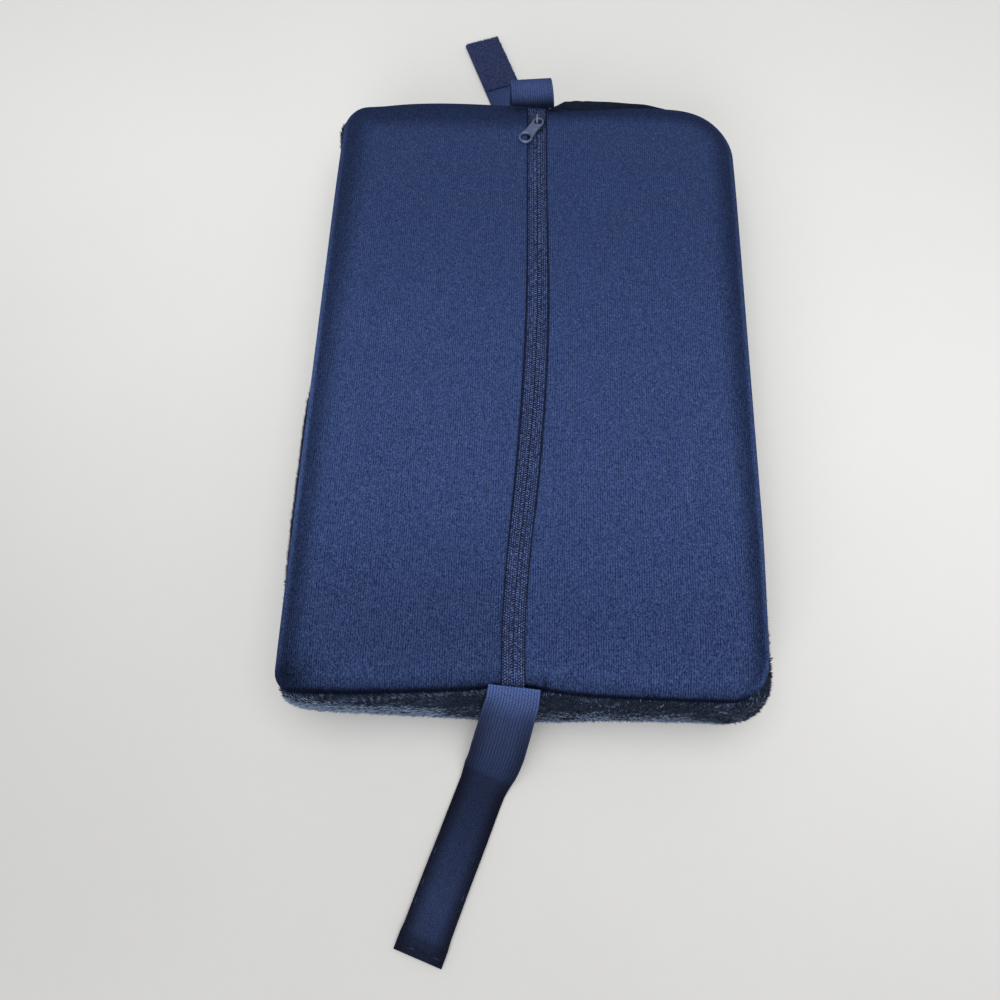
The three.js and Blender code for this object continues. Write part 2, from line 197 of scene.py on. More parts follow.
# Pad pattern: the outline of the seam, the back above it, and where the sewing draws both in
pad = {
    "halfWidth": 115.0, "halfLength": 175.0, "seamHeight": 58.5,
    "rollWidth": 18.0, "rollRise": 5.0, "crownRise": 2.0,
    # sideX, sideY, radius, sag
    "corners": [(1, -1, 22.0, 1.0), (1, 1, 35.0, 3.0), (-1, 1, 15.0, 2.6), (-1, -1, 11.0, 1.0)],
    "fewestArcSteps": 6, "sagSpread": 45.0, "sideDraw": 0.2,
    # x, and how far each end of the pad is drawn in there, most at the straps
    "nearDraw": [(-130, 0.0), (-105, -0.35), (-85, -0.45), (-54, 0.87), (-31, 2.33), (-17, 3.7), (-4, 4.9),
                 (4, 4.6), (9.3, 3.7), (24, 1.98), (50, 1.03), (75, 0.82), (95, 0.77), (130, 0.6)],
    "farDraw": [(-130, 0.8), (-100, 1.2), (-91, 0.9), (-80, 0.0), (-65, -0.4), (-40, 0.3), (-20, 1.4),
                (-1, 2.0), (11, 1.75), (22, 2.8), (34, 2.2), (45, 2.0), (56, 2.0), (67, 1.6), (85, 1.9),
                (101, 0.7), (130, 0.3)],
    "drawReach": 65.0, "drawFrom": 20.0, "drawFull": 50.0,
    # the sewn edge lies a little in from the pattern and rolls down to it
    "seamIn": {"near": 0.6, "far": -1.0, "left": 0.4, "right": 0.35}, "seamInWidth": 16.0,
    "cornerIn": (1.7, 80.0, 165.0),  # more on the right, growing between two places towards the near end
    "seamDrop": {"near": 2.5, "far": 0.2, "left": 3.0, "right": 3.0}, "seamDropWidth": 14.0,
    "farDip": (24.0, 24.0, 2.3),  # x, half length and depth of the dip in the far edge
    # y and x of the zip
    "zipLine": [(-176, -4.2), (-145, -4.7), (-116, -3.7), (-70, -0.3), (-20, 2.3),
                (25, 3.1), (73, 2.4), (114, 1.4), (158, 0.6), (176, 0.2)],
}
halfWidth, halfLength = pad["halfWidth"], pad["halfLength"]


def cornerRadius(x, y):
    radius = np.zeros(np.broadcast(x, y).shape)
    for sideX, sideY, cornerRound, _ in pad["corners"]:
        radius = np.where((sideX * x >= 0) & (sideY * y >= 0), cornerRound, radius)
    return radius


def pastCorner(x, y):  # radius of the nearest corner, and how far past its centre a point lies each way
    radius = cornerRadius(x, y)
    return radius, np.abs(x) - (halfWidth - radius), np.abs(y) - (halfLength - radius)


def seamDepth(x, y):  # how far a point lies in from the seam, in plan
    radius, pastX, pastY = pastCorner(x, y)
    inArc = (pastX > 0) & (pastY > 0)
    return radius - np.where(inArc, np.hypot(pastX, pastY), np.maximum(pastX, pastY))


def seamOut(x, y):  # plan direction straight out to the nearest seam
    _, pastX, pastY = pastCorner(x, y)
    inArc = (pastX > 0) & (pastY > 0)
    outX = np.where(inArc, pastX, np.where(pastX > pastY, 1.0, 0.0)) * np.sign(x)
    outY = np.where(inArc, pastY, np.where(pastX > pastY, 0.0, 1.0)) * np.sign(y)
    size = np.maximum(np.hypot(outX, outY), 1e-9)
    return outX / size, outY / size


def cornerSag(x, y):
    sag = 0
    for sideX, sideY, _, depth in pad["corners"]:
        away = np.hypot(x - sideX * halfWidth, y - sideY * halfLength)
        sag = sag + depth * np.exp(-(away / pad["sagSpread"]) ** 2)
    return sag


def backHeight(x, y):  # outer face of the back
    climb = 1 - np.clip(seamDepth(x, y) / pad["rollWidth"], 0, 1)
    crown = pad["crownRise"] * (1 - (x / halfWidth) ** 2) * (1 - (y / halfLength) ** 2)
    return pad["seamHeight"] + pad["rollRise"] * (1 - climb ** 2) + crown - cornerSag(x, y)


def sewn(x, y, z):  # moves the flat pattern to where the sewing draws it in
    drawn = smoothStep(z, pad["drawFrom"], pad["drawFull"])
    sideDraw = pad["sideDraw"] * x * (1 - (y / halfLength) ** 2) / halfWidth
    endDraw = 0
    for sideY, rows in ((-1, pad["nearDraw"]), (1, pad["farDraw"])):
        byEnd = smoothStep(sideY * y, halfLength - pad["drawReach"], halfLength)
        endDraw = endDraw - sideY * byEnd * through(rows, x)
    return stacked(x - drawn * sideDraw, y + drawn * endDraw, z)


def unsewn(x, y, z):  # back to about the flat pattern, where the seam is straight
    return 2 * stacked(x, y, z) - sewn(x, y, z)


def bySide(x, y, values):  # a value that changes from side to side of the pad
    outX, outY = seamOut(x, y)
    return (np.maximum(-outY, 0) ** 2 * values["near"] + np.maximum(outY, 0) ** 2 * values["far"]
            + np.maximum(-outX, 0) ** 2 * values["left"] + np.maximum(outX, 0) ** 2 * values["right"])


def drawnIn(x, y):  # moves the pattern in at the sewn edge
    outX, outY = seamOut(x, y)
    more, start, end = pad["cornerIn"]
    inward = bySide(x, y, pad["seamIn"]) + more * np.maximum(outX, 0) ** 2 * smoothStep(-y, start, end)
    inward = inward * (1 - np.clip(seamDepth(x, y) / pad["seamInWidth"], 0, 1)) ** 2
    return x - outX * inward, y - outY * inward


def backFace(x, y):  # outer face of the back as it is sewn
    fall = 1 - np.clip(seamDepth(x, y) / pad["seamDropWidth"], 0, 1)
    dipX, dipHalf, dipDepth = pad["farDip"]
    dip = dipDepth * np.exp(-((x - dipX) / dipHalf) ** 4) * np.maximum(seamOut(x, y)[1], 0) ** 2
    return backHeight(x, y) - (bySide(x, y, pad["seamDrop"]) + dip) * fall ** 2


def onBack(x, y, below):
    return sewn(*drawnIn(x, y), backFace(x, y) - below)


def zipX(y):
    return through(pad["zipLine"], y)


def seamOutline(step):  # points round the seam, anticlockwise, and the way out at each
    points, outs = [], []
    corners = pad["corners"]
    for index, (sideX, sideY, radius, _) in enumerate(corners):
        nextX, nextY, nextRadius, _ = corners[(index + 1) % 4]
        centre = np.array([sideX * (halfWidth - radius), sideY * (halfLength - radius)])
        arcSteps = max(pad["fewestArcSteps"], round(radius * math.pi / 2 / step))
        angles = np.radians(index * 90 - 90 + 90 * np.arange(arcSteps + 1) / arcSteps)
        arcOut = np.stack([np.cos(angles), np.sin(angles)], axis=-1)
        points.append(centre + radius * arcOut)
        outs.append(arcOut)
        start, out = points[-1][-1], arcOut[-1].round()
        nextCentre = np.array([nextX * (halfWidth - nextRadius), nextY * (halfLength - nextRadius)])
        end = nextCentre + nextRadius * out
        sideSteps = round(np.linalg.norm(end - start) / step)
        share = np.arange(1, sideSteps)[:, None] / sideSteps
        points.append(start + (end - start) * share)
        outs.append(np.broadcast_to(out, (sideSteps - 1, 2)))
    return np.concatenate(points), np.concatenate(outs)


# Shader maths: one socket, with operators that add the nodes
class Wire:
    def __init__(self, tree, socket=None):
        self.tree = tree
        self.socket = socket

    def node(self, kind, settings=None, inputs=None, out=0):  # any node: type, settings, then its sockets
        made = self.tree.nodes.new("ShaderNode" + kind)
        for name, value in (settings or {}).items():
            setattr(made, name, value)
        for key, value in (inputs or {}).items():
            if isinstance(value, Wire):
                self.tree.links.new(value.socket, made.inputs[key])
            else:
                made.inputs[key].default_value = value
        return Wire(self.tree, made.outputs[out] if made.outputs else None)

    def maths(self, operation, first, second=0.0):
        kind = self.socket.type
        if kind == "VALUE":
            return self.node("Math", {"operation": operation}, {0: first, 1: second})
        wide = 4 if kind == "RGBA" else 3
        first, second = ([v] * wide if isinstance(v, (int, float)) else v for v in (first, second))
        if kind == "RGBA":
            mode = {"data_type": "RGBA", "blend_type": operation}  # its colours go in at 6 and 7, out at 2
            return self.node("Mix", mode, {0: 1.0, 6: first, 7: second}, out=2)
        return self.node("VectorMath", {"operation": operation}, {0: first, 1: second})

    def __add__(self, other):
        return self.maths("ADD", self, other)

    def __radd__(self, other):
        return self.maths("ADD", other, self)

    def __sub__(self, other):
        return self.maths("SUBTRACT", self, other)

    def __rsub__(self, other):
        return self.maths("SUBTRACT", other, self)

    def __mul__(self, other):
        return self.maths("MULTIPLY", self, other)

    def __rmul__(self, other):
        return self.maths("MULTIPLY", other, self)

    def __truediv__(self, other):
        return self.maths("DIVIDE", self, other)

    def sine(self):
        return self.maths("SINE", self)

    def part(self):  # what is left after the whole number
        return self.maths("FRACT", self)

    def size(self):
        return self.maths("ABSOLUTE", self)

    def floor(self):
        return self.maths("FLOOR", self)

    def above(self, low, high):  # 0 below low, 1 above high
        inputs = {0: self, 1: low, 2: high, 3: 0.0, 4: 1.0}
        return self.node("MapRange", {"interpolation_type": "SMOOTHSTEP"}, inputs)

    def blend(self, first, second):  # this value mixes two colours
        return self.node("Mix", {"data_type": "RGBA"}, {0: self, 6: first, 7: second}, out=2)


def newMaterial(name):
    material = bpy.data.materials.new(name)
    material.use_nodes = True
    material.node_tree.nodes.clear()
    wire = Wire(material.node_tree)
    place = wire.node("TexCoord", out=3)  # object coordinates
    return material, wire, place


def stored(wire, name):  # a number stored at each point of the mesh
    return wire.node("Attribute", {"attribute_name": name}, out=2)


def axesOf(place):
    return [place.node("SeparateXYZ", inputs={0: place}, out=axis) for axis in range(3)]


def cells(place, wide, long):  # a random value for each small cell of cloth, sizes in millimetres
    spot = (place * (1 / (wide * mm), 1 / (long * mm), 0.0)).floor()
    return place.node("TexWhiteNoise", {"noise_dimensions": "3D"}, {"Vector": spot})


def grain(place, scale, detail=2.0, roughness=0.5):  # noise, scale in waves a metre
    inputs = {"Vector": place, "Scale": scale, "Detail": detail, "Roughness": roughness}
    return place.node("TexNoise", inputs=inputs)


def finishMaterial(wire, sockets, height=None, bump=None):  # bump: its strength, and its depth in millimetres
    sockets = dict(sockets)
    if height is not None:
        strength, deep = bump
        inputs = {"Strength": strength, "Distance": deep * mm, "Height": height}
        sockets["Normal"] = wire.node("Bump", inputs=inputs)
    shader = wire.node("BsdfPrincipled", inputs=sockets)
    wire.node("OutputMaterial", inputs={"Surface": shader})


def shade(red, green, blue):
    return (red, green, blue, 1.0)


# Back knit: smooth brushed face, fine ribs along the pad, pale specks of fibre
knit = {
    "low": shade(0.0075, 0.0165, 0.060), "high": shade(0.062, 0.100, 0.255),
    "speck": shade(0.135, 0.190, 0.370),
    # width and length of the cells of nap, twice over with the second lot moved, and of pale ends of fibre
    "nap": (0.45, 0.83), "nextNap": (0.37, 0.61), "napMoved": (0.0002, 0.0004, 0.0), "ends": (0.47, 0.71),
    "fine": (3400, 2.0, 0.6), "base": 0.45, "napShare": 0.6, "fineShare": 1.2,
    "endsFrom": (0.90, 0.98), "endsShare": 0.3,
    # ribs that wander a little, and that the brushing hides in places
    "rib": 1.12, "wander": 0.8, "wanderStretch": (1.0, 0.3, 1.0), "wanderNoise": (220, 1.0),
    "faintRib": 0.04, "clearRib": 0.14, "clearFrom": (0.35, 0.65), "clearStretch": (1.0, 0.4, 1.0),
    "clearNoise": (160, 2.0),
    "wear": 2.0, "bump": (0.4, 0.2),  # the face is brushed flatter towards the far end
    "sheen": {"Sheen Weight": 0.03, "Sheen Roughness": 0.45, "Sheen Tint": shade(0.3, 0.45, 1.0)},
}


def knitMaterial():
    material, wire, place = newMaterial("brushedKnit")
    x, y, _ = axesOf(place)
    nap = (cells(place, *knit["nap"]) + cells(place + knit["napMoved"], *knit["nextNap"])) * 0.5
    fine = grain(place, *knit["fine"])
    ends = cells(place, *knit["ends"]).above(*knit["endsFrom"])
    wander = grain(place * knit["wanderStretch"], *knit["wanderNoise"]) * knit["wander"]
    rib = ((x / (knit["rib"] * mm) + wander) * (2 * math.pi)).sine()
    clear = grain(place * knit["clearStretch"], *knit["clearNoise"]).above(*knit["clearFrom"])
    ribbed = rib * (knit["faintRib"] + clear * knit["clearRib"])
    worn = 1 - y * knit["wear"]
    tone = knit["base"] + ((nap - 0.5) * knit["napShare"] + (fine - 0.5) * knit["fineShare"] + ribbed) * worn
    colour = tone.above(0.0, 1.0).blend(knit["low"], knit["high"])
    colour = (ends * knit["endsShare"]).blend(colour, knit["speck"])
    # the stored tone is painted light and shade: painted shade along the rolled edges, by the hem and towards
    # the ends, painted highlight on the rims, and painted shadows
    finishMaterial(wire, {"Base Color": colour * stored(wire, "tone"), "Roughness": 0.95,
                          "Specular IOR Level": 0.02, **knit["sheen"]}, fine, knit["bump"])
    return material


# Plush: dark skin under the pile, and four tones of pile
plush = {
    "skin": shade(0.005, 0.009, 0.019), "skinHigh": shade(0.011, 0.017, 0.032),
    "nap": (420, 4.0, 0.65), "patch": (45, 2.0), "napShare": 0.6, "patchShare": 0.5, "span": (0.35, 0.8),
    "bump": (0.8, 0.8),
    "skinSheen": {"Sheen Weight": 0.1, "Sheen Roughness": 0.4, "Sheen Tint": shade(0.45, 0.6, 0.9)},
    "pileSheen": {"Sheen Weight": 0.12, "Sheen Roughness": 0.35, "Sheen Tint": shade(0.45, 0.6, 0.9)},
    "tones": {"Dark": shade(0.007, 0.012, 0.030), "Mid": shade(0.034, 0.053, 0.104),
              "Soft": shade(0.078, 0.111, 0.184), "Pale": shade(0.196, 0.262, 0.385)},
}


def plushSkinMaterial():
    material, wire, place = newMaterial("plushSkin")
    nap = grain(place, *plush["nap"])
    mixed = nap * plush["napShare"] + grain(place, *plush["patch"]) * plush["patchShare"]
    colour = mixed.above(*plush["span"]).blend(plush["skin"], plush["skinHigh"])
    finishMaterial(wire, {"Base Color": colour, "Roughness": 0.95, "Specular IOR Level": 0.1,
                          **plush["skinSheen"]}, nap, plush["bump"])
    return material


def pileMaterial(tone):
    material, wire, _ = newMaterial("pile" + tone)
    finishMaterial(wire, {"Base Color": plush["tones"][tone], "Roughness": 0.7, "Specular IOR Level": 0.15,
                          **plush["pileSheen"]})
    return material


# Elastic: knitted ribs along the strap with painted shade in their grooves, their threads, and painted light
# and shade along the strap stored on the mesh as its tone
elastic = {
    "deep": shade(0.016, 0.026, 0.076), "face": shade(0.078, 0.124, 0.315), "thread": (1500, 2.0, 0.6),
    "base": 0.1, "weaveShare": 0.75, "threadShare": 0.9, "bump": (0.4, 0.12),
    "sheen": {"Sheen Weight": 0.02, "Sheen Roughness": 0.4, "Sheen Tint": shade(0.4, 0.5, 1.0)},
}


def elasticMaterial():
    material, wire, place = newMaterial("ribbedElastic")
    thread = grain(place, *elastic["thread"])
    woven = stored(wire, "weaveAndGrooveShade") * elastic["weaveShare"] + (thread - 0.5) * elastic["threadShare"]
    colour = (woven + elastic["base"]).above(0.0, 1.0).blend(elastic["deep"], elastic["face"])
    finishMaterial(wire, {"Base Color": colour * stored(wire, "tone"), "Roughness": 0.8,
                          "Specular IOR Level": 0.08, **elastic["sheen"]}, thread, elastic["bump"])
    return material


# Zip tape: close weave in dark navy, pale dashes in columns, and painted shadow as a dark strip beside the
# hem
twill = {
    "low": shade(0.011, 0.017, 0.050), "high": shade(0.124, 0.177, 0.402), "column": 1.05, "row": 1.25,
    "fleck": (1300, 2.0), "ridgeShare": 0.5, "dashShare": 0.6, "fleckShare": 1.7, "lit": (0.45, 1.2),
    "edge": (4.9, 5.8), "edgeShade": 0.85, "bump": (0.5, 0.2),
}


def tapeMaterial():
    material, wire, place = newMaterial("zipTwill")
    _, y, _ = axesOf(place)
    fromMiddle = stored(wire, "fromMiddle")
    column = fromMiddle / twill["column"]
    stepped = (column - column.part()) * 0.5  # every other column starts half a row later
    ridge = 1 - (column.part() - 0.5).size() * 2
    dash = 1 - ((y / (twill["row"] * mm) + stepped).part() - 0.5).size() * 2
    fleck = grain(place, *twill["fleck"]) - 0.5
    height = ridge * twill["ridgeShare"] + dash * twill["dashShare"] + fleck * twill["fleckShare"]
    # painted shadow in the gap under the hem
    hemShadow = fromMiddle.above(*twill["edge"])
    lit = height.above(*twill["lit"]) * (1 - hemShadow * twill["edgeShade"])
    colour = lit.blend(twill["low"], twill["high"])
    finishMaterial(wire, {"Base Color": colour, "Roughness": 0.85, "Specular IOR Level": 0.05},
                   height, twill["bump"])
    return material


# Plain fibre: the finish of thread and grip tape
fibre = {"detail": (3.0, 0.6), "lit": (0.3, 0.7), "bump": (0.3, 0.1)}


def plainFibre(name, low, high, scale, roughness):
    material, wire, place = newMaterial(name)
    fleck = grain(place, scale, *fibre["detail"])
    colour = fleck.above(*fibre["lit"]).blend(low, high)
    finishMaterial(wire, {"Base Color": colour, "Roughness": roughness, "Specular IOR Level": 0.1},
                   fleck, fibre["bump"])
    return material


# Coil: nylon loops, with painted shadow darkest where the two rows of heads meet
coil = {"low": shade(0.015, 0.023, 0.068), "high": shade(0.132, 0.188, 0.425), "fleck": (1000, 3.0, 0.6),
        "lit": (0.38, 0.66), "meetingShadow": (0.10, 0.62), "bump": (0.3, 0.1)}


def coilMaterial():
    material, wire, place = newMaterial("coilNylon")
    fleck = grain(place, *coil["fleck"])
    lit = fleck.above(*coil["lit"]) * stored(wire, "fromMiddle").above(*coil["meetingShadow"])
    colour = lit.blend(coil["low"], coil["high"])
    finishMaterial(wire, {"Base Color": colour, "Roughness": 0.5, "Specular IOR Level": 0.1},
                   fleck, coil["bump"])
    return material


# Enamelled metal of the slider and the pull: satin gunmetal navy, worn in patches, and a darker copy that
# paints the shade on the slider body
enamel = {
    "paint": shade(0.118, 0.152, 0.280), "worn": shade(0.185, 0.228, 0.360),
    "shadedPaint": shade(0.026, 0.036, 0.088), "shadedWorn": shade(0.046, 0.060, 0.120),
    "speckle": (2200, 3.0, 0.6), "patch": (380, 2.0), "wornFrom": (0.52, 0.70), "wornShare": 0.7,
    "smoothest": 0.34, "speckleRough": 0.14, "bump": (0.15, 0.05),
}


def enamelMaterial(name, paint, wornPaint):
    material, wire, place = newMaterial(name)
    speckle = grain(place, *enamel["speckle"])
    worn = grain(place, *enamel["patch"]).above(*enamel["wornFrom"])
    colour = (worn * enamel["wornShare"]).blend(paint, wornPaint)
    rough = enamel["smoothest"] + speckle * enamel["speckleRough"]
    finishMaterial(wire, {"Base Color": colour, "Metallic": 0.55, "Roughness": rough,
                          "Specular IOR Level": 0.5, "Coat Weight": 0.2, "Coat Roughness": 0.35},
                   speckle, enamel["bump"])
    return material


finishes = {
    "knit": knitMaterial(), "plushSkin": plushSkinMaterial(), "tape": tapeMaterial(),
    "enamel": enamelMaterial("satinEnamel", enamel["paint"], enamel["worn"]),
    "shadedEnamel": enamelMaterial("shadedEnamel", enamel["shadedPaint"], enamel["shadedWorn"]),
    "elastic": elasticMaterial(),
    "coil": coilMaterial(),
    "thread": plainFibre("navyThread", shade(0.004, 0.006, 0.014), shade(0.012, 0.016, 0.036), 1800, 0.7),
    "paleThread": plainFibre("paleThread", shade(0.022, 0.029, 0.056), shade(0.052, 0.066, 0.112), 1800, 0.6),
    "hookTape": plainFibre("hookTape", shade(0.008, 0.012, 0.026), shade(0.022, 0.030, 0.062), 700, 0.6),
    "loopTape": plainFibre("loopTape", shade(0.036, 0.050, 0.132), shade(0.076, 0.100, 0.238), 650, 0.95),
}
print("finishes mixed,", len(finishes))


# Plush body: lofted a little slack, remeshed, swelled as cloth between the seam and the table
body = {
    "ringStep": 4.5, "voxel": 5.5, "slack": 1.6,
    # the cloth is held at the table and at the seam, and no point moves further than the cap
    "frames": 20, "cap": 3.0, "heldBelow": 1.5, "heldAbove": 53.5,
    "cloth": {"quality": 6, "mass": 0.25, "tension_stiffness": 18, "compression_stiffness": 18,
              "shear_stiffness": 8, "bending_stiffness": 1.5, "use_pressure": True,
              "uniform_pressure_force": 4.0},
    # inset, height
    "wall": [(17, 0), (10.5, 1.6), (5, 6), (1, 13.5), (-1.8, 24), (-2.8, 35), (-2.9, 44), (-2.5, 50),
             (-1.0, 53.6)],
    "edge": (1.0, 2.6), "under": 3.3, "capInsets": [3, 7, 12, 18, 28], "shrinks": [0.85, 0.6, 0.35, 0.12],
    "swell": 0.3, "swellSize": 75, "swellRise": 1.3, "swellFull": 14, "swellSeed": 5,
    # the left and right walls lean in between two heights, the right one less towards the near end
    "tuck": 2.3, "tuckRightNear": 2.0, "tuckBetween": (30.0, 54.0), "rightNear": (-20, 80),
    "bulgeBetween": (14, 40),  # the bulges grow between these heights
    "corners": [(-115, -175, -0.2, 16), (115, -175, 4.2, 12), (-115, 165.5, 4.6, 9)],  # x, y, bulge, spread
    "leftOut": 2.3, "leftFrom": (-150, -110), "leftTo": (-22, -4),  # the left side swells out in between
    "nearOut": 2.2, "nearBetween": (5, 30),
    # x, and how far the near side bellies out there, and the heights between which it comes and goes
    "belly": [(-105, -0.8), (-92, -0.3), (-75, 0.6), (-40, 1.4), (-20, 2.4), (10, 2.6), (36, 0.9), (57, 0.4),
              (88, 0.2), (100, 1.2), (112, 3.0)],
    "bellyFrom": (2, 14), "bellyTo": (34, 52),
    # x, and the rise there of the roll along the far seam
    "farRoll": [(-14, 2.0), (2, 3.6), (9, 5.6), (14, 7.7), (24, 8.5), (36, 8.3), (44, 7.9), (56, 7.0),
                (67, 6.6), (80, 5.0), (95, 0.0)],
    # the heights, and the places towards the seam, between which the roll rises and bulges out
    "rollUp": (41, 48), "rollUpY": (175.3, 177.8),
    "farBulge": 3.8, "rollOut": (38, 50), "rollOutY": (169, 174.5),
}


def wallOut(xy, out, height):  # how far the wall stands out past its plain section at a height
    alongX, alongY = xy.T
    grown = smoothStep(height, *body["bulgeBetween"])
    bulge = 0
    for cornerX, cornerY, more, spread in body["corners"]:
        away = np.hypot(alongX - cornerX, alongY - cornerY)
        bulge = bulge + more * np.exp(-(away / spread) ** 2) * grown
    rightNear = smoothStep(-alongY, *body["rightNear"]) * (alongX > 0)
    tucked = (body["tuck"] + (body["tuckRightNear"] - body["tuck"]) * rightNear) * out[:, 0] ** 2
    tucked = tucked * smoothStep(height, *body["tuckBetween"])
    belly = straight(body["belly"], alongX) * smoothStep(height, *body["bellyFrom"])
    nearOut = body["nearOut"] * smoothStep(height, *body["nearBetween"])
    nearOut = (nearOut + belly * (1 - smoothStep(height, *body["bellyTo"]))) * np.maximum(-out[:, 1], 0) ** 2
    leftOut = body["leftOut"] * smoothStep(alongY, *body["leftFrom"])
    leftOut = leftOut * (1 - smoothStep(alongY, *body["leftTo"]))
    bulge = bulge + leftOut * np.maximum(-out[:, 0], 0) ** 2 * grown
    return bulge + nearOut - tucked


def bodyRings():
    xy, out = seamOutline(body["ringStep"])
    around = np.cumsum(np.linalg.norm(np.diff(xy, axis=0, append=xy[:1]), axis=1))
    rings = []
    for shrink in reversed(body["shrinks"]):
        x, y = ((xy - out * (body["wall"][0][0] + body["slack"])) * shrink).T
        rings.append(sewn(x, y, x * 0))
    for inset, height in body["wall"]:
        lift = smoothStep(height, pad["drawFrom"], pad["seamHeight"])
        rough = softWaves(around, height * body["swellRise"], body["swellSize"], body["swellSeed"])
        uneven = body["swell"] * rough * min(height / body["swellFull"], 1)
        turned = inset + body["slack"] - uneven - wallOut(xy, out, height)
        x, y = (xy - out * turned[:, None]).T
        rings.append(sewn(x, y, height - lift * cornerSag(x, y)))
    for inset, below in [body["edge"], *((inset, body["under"]) for inset in body["capInsets"])]:
        x, y = (xy - out * inset).T
        rings.append(onBack(x, y, below))
    for shrink in body["shrinks"]:
        x, y = ((xy - out * body["capInsets"][-1]) * shrink).T
        rings.append(onBack(x, y, body["under"]))
    return np.array(rings)


def swellAsCloth(obj):
    start = pointsOf(obj.data)
    held = obj.vertex_groups.new(name="held")
    fixed = (start[:, 2] < body["heldBelow"] * mm) | (start[:, 2] > body["heldAbove"] * mm)
    held.add(np.flatnonzero(fixed).tolist(), 1.0, "REPLACE")
    cloth = obj.modifiers.new("swell", "CLOTH")
    for name, value in body["cloth"].items():
        setattr(cloth.settings, name, value)
    cloth.settings.vertex_group_mass = "held"
    cloth.settings.effector_weights.gravity = 0
    cloth.collision_settings.use_collision = False
    scene = bpy.context.scene
    for step in range(1, body["frames"] + 1):
        scene.frame_set(step)
    swelled = obj.evaluated_get(bpy.context.evaluated_depsgraph_get())
    move = pointsOf(swelled.to_mesh()) - start
    swelled.to_mesh_clear()
    obj.modifiers.remove(cloth)
    scene.frame_set(1)
    far = np.linalg.norm(move, axis=1, keepdims=True)
    move *= np.minimum(1, body["cap"] * mm / np.maximum(far, 1e-9))
    movePoints(obj.data, start + move)
    print("body swelled, largest move", round(float(far.max()) / mm, 2), "mm, mean",
          round(float(far[~fixed].mean()) / mm, 2), "mm")


def rollFarEdge(obj):  # the plush stands a little above the panel along part of the far seam
    points = pointsOf(obj.data) / mm
    x, y, z = points.T
    flatY = unsewn(x, y, z)[:, 1]
    rows = body["farRoll"]
    rise = np.where((x > rows[0][0]) & (x < rows[-1][0]), through(rows, x), 0)
    outward = body["farBulge"] * rise / max(value for _, value in rows)
    outward = outward * smoothStep(z, *body["rollOut"]) * smoothStep(flatY, *body["rollOutY"])
    up = rise * smoothStep(flatY + outward, *body["rollUpY"]) * smoothStep(z, *body["rollUp"])
    movePoints(obj.data, (points + stacked(0, outward, up)) * mm)


def makeBody():
    obj = newObject("plushBody", *sweptRings(bodyRings()))
    remesh = obj.modifiers.new("even", "REMESH")
    remesh.mode = "VOXEL"
    remesh.voxel_size = body["voxel"] * mm
    settleModifiers(obj)
    swellAsCloth(obj)
    obj.modifiers.new("round", "SUBSURF").levels = 1
    settleModifiers(obj)
    rollFarEdge(obj)
    dress(obj, finishes["plushSkin"], "plush", "plush_body")
    return obj


plushBody = makeBody()
print("plush body made,", len(plushBody.data.polygons), "faces")


